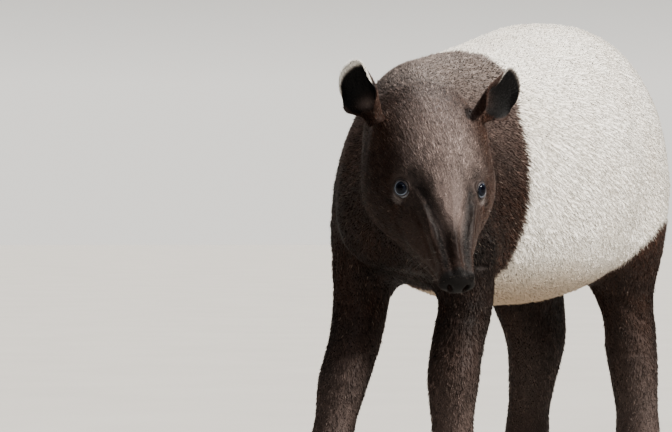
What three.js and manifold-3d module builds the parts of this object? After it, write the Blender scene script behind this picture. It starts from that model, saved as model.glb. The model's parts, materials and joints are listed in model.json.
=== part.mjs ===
// A young Malayan tapir, life size, standing with its head lowered and turned to its left.
// Millimetres, Z up. The body faces -Y, the animal's left is +X, and it stands on the floor at Z = 0.
// One smooth field of rounded lofts gives the body. Each piece is a mesh of that field, and the
// pieces are parted by thin cuts. The origin is on the floor, under the middle of the animal.
import * as THREE from "three";
import { mergeVertices } from "three/addons/utils/BufferGeometryUtils.js";
import Module from "manifold-3d";

const wasm = await Module();
wasm.setup();

// Driving dimensions
const withersHeight = 725;
const croupHeight = 797;
const bellyHeight = 298;
const barrelHalfWidth = 208;
const chestHalfWidth = 98;
const chestFrontY = -150;
const rumpEndY = 868;
const headLength = 356;
const headYaw = THREE.MathUtils.degToRad(39.5);
const headPitch = THREE.MathUtils.degToRad(41);
const eyeRadius = 13.5;
const lidThickness = 2.8;
const earLength = 84;
const earRadius = 38;
const earThickness = 5;
const earTip = 40;
const earSink = 20;
const noseBend = 8;
const toeFan = 14;
const legTurn = THREE.MathUtils.degToRad(8);
const innerSide = 34;
const gap = 0.3;
const flatTolerance = 0.1;
// How far the simpler faces may leave the surface
const tolerance = { torso: 1.4, neck: 1.1, face: 1.05, muzzle: 0.7, limb: 0.9, foot: 0.4 };

// Small maths
const { clamp, degToRad, smoothstep } = THREE.MathUtils;
const vec = (x, y, z) => new THREE.Vector3(x, y, z);
const bothSides = [
  { name: "left", side: 1 },
  { name: "right", side: -1 },
];

// Reads a table of stations [t, a, b, ...] as one smooth curve for each column.
function smoothTable(rows) {
  const last = rows.length - 1;
  const slopes = rows.map((row, i) => {
    const before = rows[Math.max(i - 1, 0)];
    const after = rows[Math.min(i + 1, last)];
    return row.map((_, c) => (after[c] - before[c]) / (after[0] - before[0]));
  });
  return (at, out) => {
    const t = clamp(at, rows[0][0], rows[last][0]);
    let i = 0;
    while (i < last - 1 && t > rows[i + 1][0]) i += 1;
    const span = rows[i + 1][0] - rows[i][0];
    const f = (t - rows[i][0]) / span;
    const f2 = f * f;
    const f3 = f2 * f;
    for (let c = 1; c < rows[i].length; c += 1) {
      out[c - 1] =
        (2 * f3 - 3 * f2 + 1) * rows[i][c] +
        (f3 - 2 * f2 + f) * span * slopes[i][c] +
        (3 * f2 - 2 * f3) * rows[i + 1][c] +
        (f3 - f2) * span * slopes[i + 1][c];
    }
    return out;
  };
}

// A rounded form along a straight axis. Each station is [distance along, half width, high edge,
// level of the widest line, low edge, sideways shift]. It gives the distance to its surface.
function loft({ origin, along, high, stations, roundness = 2.15 }) {
  const read = smoothTable(stations);
  const start = stations[0][0];
  const end = stations[stations.length - 1][0];
  const side = new THREE.Vector3().crossVectors(along, high);
  const section = [0, 0, 0, 0, 0];
  return (x, y, z) => {
    const dx = x - origin.x;
    const dy = y - origin.y;
    const dz = z - origin.z;
    const t = dx * along.x + dy * along.y + dz * along.z;
    const beyond = Math.max(start - t, t - end, 0);
    if (beyond > 250) return beyond;
    const [halfWidth, top, widest, bottom, shift] = read(t, section);
    const u = dx * side.x + dy * side.y + dz * side.z - shift;
    const v = dx * high.x + dy * high.y + dz * high.z - widest;
    const height = v > 0 ? top - widest : widest - bottom;
    const away = Math.hypot(u, v);
    const scaled =
      (Math.abs(u / halfWidth) ** roundness + Math.abs(v / height) ** roundness) ** (1 / roundness);
    const across = scaled < 1e-6 ? -Math.min(halfWidth, height) : away - away / scaled;
    return beyond > 0 ? Math.hypot(Math.max(across, 0), beyond) : across;
  };
}

// The smaller of two distances, rounded where they meet over a width of about k
function blend(a, b, k) {
  const h = Math.max(k - Math.abs(a - b), 0) / k;
  return Math.min(a, b) - (h * h * k) / 4;
}

// Distance from a point to a line through several points, and how far along it that is, 0 to 1
function nearLine(points, x, y, z) {
  let best = Infinity;
  let share = 0;
  for (let i = 0; i + 1 < points.length; i += 1) {
    const [ax, ay, az] = points[i];
    const [bx, by, bz] = points[i + 1];
    const ex = bx - ax;
    const ey = by - ay;
    const ez = bz - az;
    const run = ((x - ax) * ex + (y - ay) * ey + (z - az) * ez) / (ex * ex + ey * ey + ez * ez);
    const f = clamp(run, 0, 1);
    const d = Math.hypot(x - ax - f * ex, y - ay - f * ey, z - az - f * ez);
    if (d < best) {
      best = d;
      share = (i + f) / (points.length - 1);
    }
  }
  return [best, share];
}

// Torso, from the chest to the rump
const torso = loft({
  origin: vec(0, 0, 0),
  along: vec(0, 1, 0),
  high: vec(0, 0, 1),
  roundness: 2.2,
  stations: [
    [chestFrontY, 20, 515, 470, 425, 0],
    [chestFrontY + 12, 42, 560, 470, 398, 0],
    [-110, 60, 600, 475, 384, 0],
    [-60, 78, 650, 480, 372, 0],
    [0, chestHalfWidth, 684, 480, 360, 0],
    [70, 129, 706, 480, 346, 0],
    [150, 161, 727, 480, 324, 0],
    [216, 184, withersHeight + 14, 480, 310, 0],
    [330, barrelHalfWidth - 6, 760, 485, bellyHeight, 0],
    [460, barrelHalfWidth, 790, 495, bellyHeight + 4, 0],
    [560, 200, croupHeight, 505, 318, 0],
    [640, 186, 790, 518, 345, 0],
    [700, 170, 770, 530, 375, 0],
    [770, 144, 722, 540, 412, 0],
    [825, 112, 664, 545, 444, 0],
    [856, 70, 615, 545, 480, 0],
    [rumpEndY, 20, 575, 545, 515, 0],
  ],
});

// Head, on its own axes from the back of the skull: along to the tip of the trunk, left, and up
const headAlong = vec(
  Math.cos(headPitch) * Math.sin(headYaw),
  -Math.cos(headPitch) * Math.cos(headYaw),
  -Math.sin(headPitch),
);
const headUp = vec(
  Math.sin(headPitch) * Math.sin(headYaw),
  -Math.sin(headPitch) * Math.cos(headYaw),
  Math.cos(headPitch),
);
const headLeft = new THREE.Vector3().crossVectors(headUp, headAlong);
const headBack = vec(143, -242, 607);
const headFrame = new THREE.Matrix4()
  .makeBasis(headAlong, headLeft, headUp)
  .setPosition(headBack);
const toHead = headFrame.clone().invert().elements;
// The muzzle bends a little to the left towards its tip.
const bend = (t) => noseBend * smoothstep(t, 190, headLength);
const bent = ([t, ...section]) => [t, ...section.slice(0, 4), -bend(t)];
const onHead = (t, u, v) => vec(t, u, v).applyMatrix4(headFrame);

const skull = loft({
  origin: headBack,
  along: headAlong,
  high: headUp,
  roundness: 2.2,
  stations: [
    [-10, 75, 72, -10, -84, 0],
    [50, 89, 91, -14, -98, 0],
    [100, 98, 96, -22, -108, 0],
    [145, 99, 92, -32, -112, 0],
    [180, 88, 84, -30, -104, 0],
    [205, 77, 74, -28, -92, 0],
    [227, 65, 64, -28, -78, 0],
    [256, 52, 50, -24, -64, 0],
    [284, 41, 35, -22, -57, 0],
    [306, 32.5, 22, -22, -55, 0],
    [326, 27, 9, -24, -55, 0],
    [342, 26, -4, -28, -54, 0],
    [350, 24, -12, -31, -51, 0],
    [headLength, 14, -21, -33, -43, 0],
  ].map(bent),
});
const jaw = loft({
  origin: headBack,
  along: headAlong,
  high: headUp,
  stations: [
    [110, 60, -50, -80, -120, 0],
    [190, 52, -48, -74, -106, 0],
    [245, 37, -50, -68, -90, 0],
    [280, 23, -52, -66, -80, 0],
    [300, 15, -54, -65, -75, 0],
    [309, 7, -60, -65, -70, 0],
  ].map(bent),
});

// Neck, from between the shoulders to inside the back of the head
const neckRoot = vec(0, 60, 520);
const neckEnd = vec(163, -268, 568);
const neckAlong = neckEnd.clone().sub(neckRoot).normalize();
const neckLength = neckEnd.distanceTo(neckRoot);
const neck = loft({
  origin: neckRoot,
  along: neckAlong,
  high: vec(0, 0, 1).addScaledVector(neckAlong, -neckAlong.z).normalize(),
  stations: [
    [0, 90, 160, -20, -172, 0],
    [110, 90, 144, -20, -168, 0],
    [210, 86, 124, -16, -155, 0],
    [300, 82, 102, -10, -126, 0],
    [neckLength, 72, 80, -6, -90, 0],
  ],
});

// Legs. Forward is the high edge, the station's distance is the height above the floor, and the
// shift is away from the body. Reach moves the lower part of a leg forward, knee its bend.
function legFrame(foot, side, turn) {
  const forward = vec(side * Math.sin(turn), -Math.cos(turn), 0);
  const outward = vec(side * Math.cos(turn), Math.sin(turn), 0);
  return { foot, side, forward, outward };
}

function legLoft(frame, stations, reach, knee) {
  return loft({
    origin: frame.foot,
    along: vec(0, 0, 1),
    high: frame.forward,
    roundness: 2.1,
    stations: stations.map(([z, halfWidth, front, widest, back, shift]) => {
      const step = reach * (1 - smoothstep(z, 0, 230));
      const bent = knee * Math.exp(-(((z - 300) / 75) ** 2));
      const lean = frame.side * (shift + 0.35 * bent);
      return [z, halfWidth, front + step + bent, widest + step + 0.5 * bent, back + step, lean];
    }),
  });
}

const foreStations = [
  [-6, 35, 43, 6, -35, 0],
  [0, 37, 45, 6, -37, 0],
  [28, 41, 44, 5, -38, 0],
  [58, 39, 40, 2, -37, 0],
  [92, 35, 35, 0, -35, 0],
  [125, 36, 36, 0, -36, 0],
  [155, 40, 40, 0, -40, 0],
  [198, 44.5, 38, -7, -51, 0],
  [240, 44, 20, -26, -72, 0],
  [285, 45, 3, -46, -94, 4],
  [325, 45.5, -4, -56, -108, 6],
  [375, 48, 6, -56, -118, 1],
  [440, 45, 30, -46, -118, -13],
  [510, 40, 40, -34, -100, -31],
  [570, 26, 20, -30, -76, -34],
];
const hindStations = [
  [-6, 35, 43, 6, -37, 0],
  [0, 37, 45, 6, -39, 0],
  [28, 41, 44, 4, -40, 0],
  [58, 40, 40, 0, -41, 0],
  [92, 38.5, 37, -1, -42, -2],
  [128, 41, 40, -4, -50, -6],
  [165, 44, 44, -8, -60, -10],
  [205, 46, 50, -14, -76, -16],
  [248, 44, 58, -20, -92, -20],
  [270, 44, 64, -14, -92, -22],
  [310, 52, 84, 6, -78, -26],
  [350, 64, 110, 24, -66, -24],
  [395, 74, 132, 34, -64, -22],
  [445, 80, 138, 34, -76, -28],
  [505, 78, 122, 22, -90, -40],
  [560, 62, 90, 6, -82, -54],
  [605, 34, 50, 0, -58, -62],
];
const legs = [
  { name: "foreleg_left", kind: "fore", foot: vec(98, -22, 0), side: 1, reach: 0, knee: 0 },
  { name: "foreleg_right", kind: "fore", foot: vec(-100, -22, 0), side: -1, reach: 55, knee: 0 },
  { name: "hindleg_left", kind: "hind", foot: vec(112, 722, 0), side: 1, reach: 0, knee: 0 },
  { name: "hindleg_right", kind: "hind", foot: vec(-110, 722, 0), side: -1, reach: 0, knee: 40 },
].map((leg) => {
  const frame = legFrame(leg.foot, leg.side, legTurn);
  const stations = leg.kind === "fore" ? foreStations : hindStations;
  return { ...leg, frame, field: legLoft(frame, stations, leg.reach, leg.knee) };
});

// Toes: where each one's middle is, forward and outward of the foot's, its half length, half
// width and half height, and the height of its middle
const toes = {
  fore: [
    { name: "inner", forward: 36, outward: -26, size: [20, 12, 21], lift: 13, fan: -toeFan },
    { name: "middle", forward: 46, outward: 0, size: [21, 13, 22], lift: 14, fan: 0 },
    { name: "outer", forward: 36, outward: 26, size: [20, 12, 21], lift: 13, fan: toeFan },
    { name: "side", forward: 6, outward: 41, size: [15, 9, 15], lift: 20, fan: 35 },
  ],
  hind: [
    { name: "inner", forward: 36, outward: -26, size: [20, 12, 21], lift: 13, fan: -toeFan },
    { name: "middle", forward: 47, outward: 0, size: [21, 13.5, 22], lift: 14, fan: 0 },
    { name: "outer", forward: 36, outward: 26, size: [20, 12, 21], lift: 13, fan: toeFan },
  ],
};
for (const leg of legs) {
  leg.toes = toes[leg.kind].map((toe) => {
    const { frame } = leg;
    const fan = degToRad(toe.fan);
    const forward = frame.forward.clone().multiplyScalar(Math.cos(fan));
    forward.addScaledVector(frame.outward, Math.sin(fan));
    const across = vec(-forward.y, forward.x, 0);
    const middle = frame.foot.clone().setZ(toe.lift);
    middle.addScaledVector(frame.forward, toe.forward + leg.reach);
    middle.addScaledVector(frame.outward, toe.outward);
    return { ...toe, middle, forward, across };
  });
}
const allToes = legs.flatMap((leg) => leg.toes);

function toeBall({ middle, forward, across, size }, x, y, z) {
  const dx = x - middle.x;
  const dy = y - middle.y;
  const a = (dx * forward.x + dy * forward.y) / size[0];
  const b = (dx * across.x + dy * across.y) / size[1];
  const c = (z - middle.z) / size[2];
  return (Math.hypot(a, b, c) - 1) * size[1];
}

// Swellings and hollows on both sides of the body: place, reach along X, Y and Z, and lift
const bodySwells = [
  { name: "shoulder blade", at: [96, 50, 590], size: [60, 64, 95], lift: 5 },
  { name: "upper arm", at: [122, 12, 430], size: [48, 56, 52], lift: 3 },
  { name: "breast", at: [50, -122, 430], size: [46, 50, 60], lift: 8 },
  { name: "between the forelegs", at: [12, -20, 348], size: [34, 70, 34], lift: -20 },
  { name: "haunch", at: [150, 680, 575], size: [70, 110, 105], lift: 6 },
  { name: "hip", at: [118, 555, 745], size: [60, 70, 50], lift: 7 },
  { name: "behind the elbow", at: [150, 160, 420], size: [50, 44, 90], lift: -9 },
  { name: "flank", at: [194, 560, 450], size: [50, 50, 90], lift: -12 },
];
// The same on the head, on its own axes
const headSwells = [
  { name: "cheek", at: [130, 92, -36], size: [52, 30, 46], lift: 4 },
  { name: "temple", at: [150, 88, 44], size: [40, 26, 26], lift: -4 },
  { name: "brow", at: [192, 58, 50], size: [24, 18, 13], lift: 4 },
  { name: "eye hollow", at: [206, 70, 20], size: [24, 20, 22], lift: -5 },
  { name: "beside the bridge", at: [214, 45, 54], size: [20, 14, 13], lift: -4 },
  { name: "ear root", at: [76, 84, 50], size: [26, 22, 26], lift: 9 },
  { name: "upper lip", at: [264, 42, -42], size: [32, 16, 14], lift: 4 },
  { name: "nostril wing", at: [346, 24, -38], size: [11, 12, 15], lift: 5 },
];
const headLines = [
  {
    name: "nose groove",
    line: [
      [196, 54, 60], [214, 43, 56], [238, 33, 46], [256, 26, 40], [272, 19.5, 33], [288, 15, 26],
      [306, 12, 17], [326, 11, 4], [346, 10, -10],
    ],
    width: 7,
    lift: -8,
  },
  {
    name: "nose wall",
    line: [[244, 40, 34], [260, 35, 29], [276, 32, 20], [292, 29, 10], [318, 24, -3], [346, 22, -19]],
    width: 7,
    lift: 4,
  },
];

function swell(list, x, y, z) {
  let lift = 0;
  for (const { at, size, lift: amount } of list) {
    const far = Math.hypot((x - at[0]) / size[0], (y - at[1]) / size[1], (z - at[2]) / size[2]);
    if (far < 3) lift += amount * Math.exp(-far * far);
  }
  return lift;
}

function headForms(x, y, z) {
  const m = toHead;
  const t = m[0] * x + m[4] * y + m[8] * z + m[12];
  const u = Math.abs(m[1] * x + m[5] * y + m[9] * z + m[13] - bend(t));
  const v = m[2] * x + m[6] * y + m[10] * z + m[14];
  if (t < -60 || t > headLength + 60 || u > 170 || Math.abs(v) > 190) return 0;
  let lift = swell(headSwells, t, u, v);
  for (const { line, width, lift: amount } of headLines) {
    const [off, share] = nearLine(line, t, u, v);
    const fade = Math.sin(Math.PI * (0.1 + 0.8 * share));
    lift += amount * fade * Math.exp(-((off / width) ** 2));
  }
  return lift;
}

// The whole body's field, below zero inside
function body(x, y, z) {
  let d = torso(x, y, z);
  d = blend(d, neck(x, y, z), 90);
  d = blend(d, blend(skull(x, y, z), jaw(x, y, z), 10), 44);
  for (const leg of legs) d = blend(d, leg.field(x, y, z), leg.kind === "fore" ? 46 : 60);
  if (z < 90) {
    for (const toe of allToes) d = blend(d, toeBall(toe, x, y, z), 9);
  }
  return d - swell(bodySwells, Math.abs(x), y, z) - headForms(x, y, z);
}

// Turns a field into a closed mesh inside a box: one vertex in each cell that the surface crosses,
// then evened out and drawn back to the surface.
function meshOf(field, { low, high, cell, frame = new THREE.Matrix4() }) {
  const count = [0, 1, 2].map((k) => Math.ceil((high[k] - low[k]) / cell) + 3);
  const p = vec(0, 0, 0);
  const value = (a, b, c) => {
    const wall = Math.max(low[0] - a, a - high[0], low[1] - b, b - high[1], low[2] - c, c - high[2]);
    p.set(a, b, c).applyMatrix4(frame);
    return Math.max(field(p.x, p.y, p.z), wall);
  };
  const index = (i, j, k) => (k * count[1] + j) * count[0] + i;
  const samples = new Float64Array(count[0] * count[1] * count[2]);
  const each = (from, to, visit) => {
    for (let k = from; k < count[2] - to; k += 1) {
      for (let j = from; j < count[1] - to; j += 1) {
        for (let i = from; i < count[0] - to; i += 1) visit(i, j, k);
      }
    }
  };
  each(0, 0, (i, j, k) => {
    samples[index(i, j, k)] = value(
      low[0] + (i - 1) * cell,
      low[1] + (j - 1) * cell,
      low[2] + (k - 1) * cell,
    );
  });
  const corners = [0, 1, 2, 3, 4, 5, 6, 7].map((n) => [n & 1, (n >> 1) & 1, n >> 2]);
  const edges = [];
  for (let a = 0; a < 8; a += 1) {
    for (const bit of [1, 2, 4]) if (!(a & bit)) edges.push([a, a | bit]);
  }
  const vertexOf = new Map();
  const points = [];
  each(0, 1, (i, j, k) => {
    const at = corners.map(([a, b, c]) => samples[index(i + a, j + b, k + c)]);
    const sum = [0, 0, 0];
    let crossings = 0;
    for (const [a, b] of edges) {
      if (at[a] < 0 === at[b] < 0) continue;
      const f = at[a] / (at[a] - at[b]);
      for (let n = 0; n < 3; n += 1) sum[n] += corners[a][n] + f * (corners[b][n] - corners[a][n]);
      crossings += 1;
    }
    if (!crossings) return;
    vertexOf.set(index(i, j, k), points.length);
    points.push([i, j, k].map((g, n) => low[n] + (g - 1 + sum[n] / crossings) * cell));
  });
  const around = [
    { step: [1, 0, 0], cells: [[0, -1, -1], [0, 0, -1], [0, 0, 0], [0, -1, 0]] },
    { step: [0, 1, 0], cells: [[-1, 0, -1], [-1, 0, 0], [0, 0, 0], [0, 0, -1]] },
    { step: [0, 0, 1], cells: [[-1, -1, 0], [0, -1, 0], [0, 0, 0], [-1, 0, 0]] },
  ];
  const quads = [];
  each(1, 1, (i, j, k) => {
    const inside = samples[index(i, j, k)] < 0;
    for (const { step, cells } of around) {
      if (inside === samples[index(i + step[0], j + step[1], k + step[2])] < 0) continue;
      const quad = cells.map(([a, b, c]) => vertexOf.get(index(i + a, j + b, k + c)));
      quads.push(inside ? quad : quad.reverse());
    }
  });
  settle(points, quads, value, cell);
  const apart = (a, b) => Math.hypot(...points[a].map((s, n) => s - points[b][n]));
  const triangles = quads.flatMap(([a, b, c, d]) =>
    apart(a, c) < apart(b, d) ? [a, b, c, a, c, d] : [a, b, d, b, c, d],
  );
  const geometry = new THREE.BufferGeometry();
  geometry.setAttribute("position", new THREE.Float32BufferAttribute(points.flat(), 3));
  geometry.setIndex(triangles);
  return geometry.applyMatrix4(frame);
}

// Evens out the vertices of a net of quads and draws them onto the surface where the value is 0.
function settle(points, quads, value, cell) {
  const neighbours = points.map(() => new Set());
  for (const quad of quads) {
    quad.forEach((v, n) => neighbours[v].add(quad[(n + 1) % 4]).add(quad[(n + 3) % 4]));
  }
  const step = cell * 0.05;
  const draw = (q) => {
    const here = value(...q);
    const slope = [0, 1, 2].map((n) => {
      const next = [...q];
      next[n] += step;
      return (value(...next) - here) / step;
    });
    const steep = Math.max(slope[0] ** 2 + slope[1] ** 2 + slope[2] ** 2, 0.2);
    const move = clamp(here / steep, -cell * 0.5, cell * 0.5);
    return q.map((s, n) => s - move * slope[n]);
  };
  for (let round = 0; round < 4; round += 1) {
    const moved = points.map((q, v) => {
      const others = [...neighbours[v]].map((other) => points[other]);
      const mean = q.map((_, n) => others.reduce((sum, o) => sum + o[n], 0) / others.length);
      return draw(q.map((s, n) => s + 0.45 * (mean[n] - s)));
    });
    moved.forEach((q, v) => {
      points[v] = draw(q);
    });
  }
}

// A closed geometry as a solid that can be joined and cut
function solid(geometry) {
  const bare = geometry.clone();
  bare.deleteAttribute("normal");
  bare.deleteAttribute("uv");
  const merged = mergeVertices(bare, 1e-4);
  return new wasm.Manifold(
    new wasm.Mesh({
      numProp: 3,
      vertProperties: new Float32Array(merged.attributes.position.array),
      triVerts: new Uint32Array(merged.index.array),
    }),
  );
}

// Keeps what lies ahead of a plane, or behind it, with the gap shared by both.
function aheadOf(made, { point, normal }) {
  return made.trimByPlane(normal.toArray(), point.dot(normal) + gap / 2);
}

function behind(made, { point, normal }) {
  return made.trimByPlane(normal.clone().negate().toArray(), -point.dot(normal) + gap / 2);
}

function largest(made) {
  return made.decompose().reduce((best, piece) => (piece.volume() > best.volume() ? piece : best));
}

// A ball with its own half sizes along three directions
function ball(middle, directions, size) {
  const shape = new THREE.IcosahedronGeometry(1, 2).scale(...size);
  const frame = new THREE.Matrix4().makeBasis(...directions).setPosition(middle);
  return solid(shape.applyMatrix4(frame));
}

// A block whose side outline is drawn in Y and Z, between two distances from the middle plane
function sideBlock(outline, side, near, far) {
  const shape = new THREE.Shape(outline.map(([y, z]) => new THREE.Vector2(y, z)));
  const block = new THREE.ExtrudeGeometry(shape, { depth: far - near, bevelEnabled: false });
  const turned = new THREE.Matrix4().makeBasis(vec(0, 1, 0), vec(0, 0, 1), vec(1, 0, 0));
  block.applyMatrix4(turned).translate(side > 0 ? near : -far, 0, 0);
  return solid(block);
}

// The same outline with each point moved away from its middle
function grown(outline, by) {
  const middle = [0, 1].map((n) => outline.reduce((sum, q) => sum + q[n], 0) / outline.length);
  return outline.map((q) => {
    const share = 1 + by / Math.hypot(q[0] - middle[0], q[1] - middle[1]);
    return q.map((s, n) => middle[n] + (s - middle[n]) * share);
  });
}

// Materials
const matte = (color, roughness) =>
  new THREE.MeshStandardMaterial({ color, roughness, metalness: 0 });
const darkCoat = matte(0x382a23, 0.78);
const faceCoat = matte(0x463831, 0.75);
const whiteCoat = matte(0xe6e0d4, 0.82);
const hoofHorn = matte(0x2a2420, 0.45);
const eyeGloss = matte(0x141a22, 0.08);

const tapir = new THREE.Group();
function addNode(name, made, material) {
  const mesh = largest(made).simplify(flatTolerance).getMesh();
  const geometry = new THREE.BufferGeometry();
  geometry.setAttribute("position", new THREE.BufferAttribute(mesh.vertProperties, 3));
  geometry.setIndex(new THREE.BufferAttribute(mesh.triVerts, 1));
  geometry.computeVertexNormals();
  const node = new THREE.Mesh(geometry, material);
  node.name = name;
  tapir.add(node);
}

// Where the pieces part
const neckCut = { point: vec(30, -70, 530), normal: vec(0.4, -0.72, 0.57).normalize() };
const napeCut = {
  point: onHead(28, 0, 0),
  normal: headAlong.clone().lerp(neckAlong, 0.45).normalize(),
};
const trunkCut = { point: onHead(296, 0, 0), normal: headAlong };
const saddleCut = { point: vec(0, 137, 500), normal: vec(0, 1, -0.12).normalize() };
const level = (z) => ({ point: vec(0, 0, z), normal: vec(0, 0, 1) });
const kneeCut = { fore: level(212), hind: level(268) };
const ankleCut = { fore: level(82), hind: level(82) };

// What belongs to each leg, seen from the side
const legArch = {
  fore: [
    [-180, -40], [165, -40], [165, 315], [148, 380], [104, 446],
    [30, 474], [-40, 450], [-90, 390], [-112, 315],
  ],
  hind: [
    [520, -40], [960, -40], [960, 490], [850, 470], [760, 452],
    [660, 428], [594, 386], [558, 338], [546, 300],
  ],
};
function legBlock({ kind, side }, by) {
  const block = sideBlock(grown(legArch[kind], by), side, innerSide - by, 420);
  // The inner side leans outwards from the belly's height up.
  const point = vec(side * (innerSide - by), 0, bellyHeight + 2);
  const normal = vec(side, 0, -0.3).normalize();
  return block.trimByPlane(normal.toArray(), point.dot(normal));
}

// Torso: the dark forequarters, and the barrel and rump under the white saddle
function makeTorso() {
  const room = { low: [-290, -240, 250], high: [290, 920, 860], cell: 45 };
  let made = solid(meshOf(body, room)).simplify(tolerance.torso);
  for (const leg of legs) made = made.subtract(legBlock(leg, gap));
  made = behind(made, neckCut).subtract(tailStump(gap));
  addNode("forequarters", behind(made, saddleCut), darkCoat);
  addNode("barrel", aheadOf(made, saddleCut), whiteCoat);
}

function makeNeck() {
  const room = { low: [-190, -440, 330], high: [330, 110, 800], cell: 31 };
  const made = solid(meshOf(body, room)).simplify(tolerance.neck);
  addNode("neck", behind(aheadOf(made, neckCut), napeCut), darkCoat);
}

// Head: the skull and cheeks, with lids round the eyes, slots for the ears and the line of the mouth
const mouthCorner = 246;
const mouthEnd = 305;
const mouthLevel = -51;
const mouthSlope = 0.07;
const jawCut = {
  point: onHead(mouthCorner, 0, mouthLevel),
  normal: headUp.clone().addScaledVector(headAlong, mouthSlope).normalize(),
};
const jawRear = { point: onHead(mouthCorner, 0, 0), normal: headAlong };
const axes = (along, up) => {
  const across = new THREE.Vector3().crossVectors(up, along).normalize();
  return [along, across, new THREE.Vector3().crossVectors(along, across).normalize()];
};

const eyes = bothSides.map(({ name, side }) => {
  const middle = onHead(200, side * 56, 26);
  const look = vec(0.55, 0.68 * side, 0.48).transformDirection(headFrame);
  return { name, middle, directions: axes(look, headUp) };
});

const eyeBall = ({ middle, directions }, radius) => ball(middle, directions, [radius, radius, radius]);

// The almond between the lids: a lens outline, extruded outwards from inside the eye
function eyeOpening({ middle, directions }) {
  const halfLength = 12.6;
  const halfHeight = 8.6;
  const lens = new THREE.Shape();
  lens.moveTo(-halfLength, 0);
  lens.quadraticCurveTo(0, 2 * halfHeight, halfLength, 0);
  lens.quadraticCurveTo(0, -2 * halfHeight, -halfLength, 0);
  const block = new THREE.ExtrudeGeometry(lens, {
    depth: 30,
    bevelEnabled: false,
    curveSegments: 8,
  });
  const [look, across, up] = directions;
  block.translate(0, 0, 3);
  const frame = new THREE.Matrix4().makeBasis(across, up, look).setPosition(middle);
  return solid(block.applyMatrix4(frame));
}

// An ear: a cupped leaf with one skin outside and one inside, closed along its rim. Its axes are
// across, towards the opening of the cup, and up to the tip. Spare makes it fatter all over.
const ears = [
  {
    name: "left",
    root: onHead(66, 71, 73),
    along: vec(0.53, 0.32, 0.79),
    opening: vec(1, -0.1, 0),
  },
  {
    name: "right",
    root: onHead(70, -86, 73),
    along: vec(-0.34, -0.17, 0.93),
    opening: vec(-0.2, -0.98, 0),
  },
];
function earLeaf({ root, along, opening }, spare) {
  const rows = 10;
  const columns = 10;
  const points = [];
  for (const skin of [1, -1]) {
    for (let i = 0; i <= rows; i += 1) {
      const s = i / rows;
      const taper = (0.34 + 0.66 * smoothstep(s, 0.12, 0.72)) * (1 - 0.12 * smoothstep(s, 0.6, 1));
      const radius = earRadius * taper;
      const wrap = degToRad(148 - 82 * smoothstep(s, 0, 0.8)) + spare / radius;
      const thickness = earThickness * (1 - 0.45 * s) + 2 * spare;
      for (let j = 0; j <= columns; j += 1) {
        const turn = (2 * j) / columns - 1;
        const drop = smoothstep(s, 0, 1) * earTip * (1 - Math.sqrt(1 - 0.98 * turn * turn));
        const r = radius + (skin * thickness) / 2;
        points.push([
          r * Math.sin(turn * wrap),
          radius - r * Math.cos(turn * wrap) + 10 * s * s,
          s * (earLength + earSink) - earSink - drop + (s > 0.5 ? spare : -spare),
        ]);
      }
    }
  }
  const row = columns + 1;
  const skinSize = row * (rows + 1);
  const faces = [];
  const quad = (a, b, c, d) => faces.push(a, b, c, a, c, d);
  for (let i = 0; i < rows; i += 1) {
    for (let j = 0; j < columns; j += 1) {
      const a = i * row + j;
      quad(a, a + 1, a + row + 1, a + row);
      quad(skinSize + a, skinSize + a + row, skinSize + a + row + 1, skinSize + a + 1);
    }
    for (const [j, flip] of [[0, false], [columns, true]]) {
      const a = i * row + j;
      const rim = [a, a + row, skinSize + a + row, skinSize + a];
      quad(...(flip ? rim.reverse() : rim));
    }
  }
  for (let j = 0; j < columns; j += 1) {
    quad(j, skinSize + j, skinSize + j + 1, j + 1);
    const a = rows * row + j;
    quad(a, a + 1, skinSize + a + 1, skinSize + a);
  }
  const geometry = new THREE.BufferGeometry();
  geometry.setAttribute("position", new THREE.Float32BufferAttribute(points.flat(), 3));
  geometry.setIndex(faces);
  const tip = along.clone().normalize();
  const open = opening.clone().addScaledVector(tip, -opening.dot(tip)).normalize();
  const across = new THREE.Vector3().crossVectors(open, tip);
  const frame = new THREE.Matrix4().makeBasis(across, open, tip).setPosition(root);
  return solid(geometry.applyMatrix4(frame));
}

// The room below the line of the mouth and ahead of its corner, which the lower jaw fills
const jawRoom = behind(
  solid(
    new THREE.BoxGeometry(200, 240, 200)
      .translate(mouthCorner + 100 - gap / 2, 0, -100)
      .applyMatrix4(headFrame),
  ),
  { point: jawCut.point.clone().addScaledVector(jawCut.normal, gap), normal: jawCut.normal },
);

// The line between the lips, as a thin round groove that follows the surface
function lipGroove(side) {
  const path = [];
  for (let t = mouthCorner; t <= mouthEnd; t += 6) {
    const v = mouthLevel - mouthSlope * (t - mouthCorner);
    let u = 0;
    const place = () => onHead(t, bend(t) + side * u, v);
    while (body(...place().toArray()) < 0) u += 0.25;
    path.push(place());
  }
  const section = new THREE.Shape().absarc(0, 0, 2, 0, 2 * Math.PI);
  return solid(new THREE.ExtrudeGeometry(section, {
    steps: path.length - 1,
    curveSegments: 6,
    extrudePath: new THREE.CatmullRomCurve3(path),
    bevelEnabled: false,
  }));
}

const nostril = { apart: 11.5, level: -38, size: [10, 5.5, 7.5] };

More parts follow.
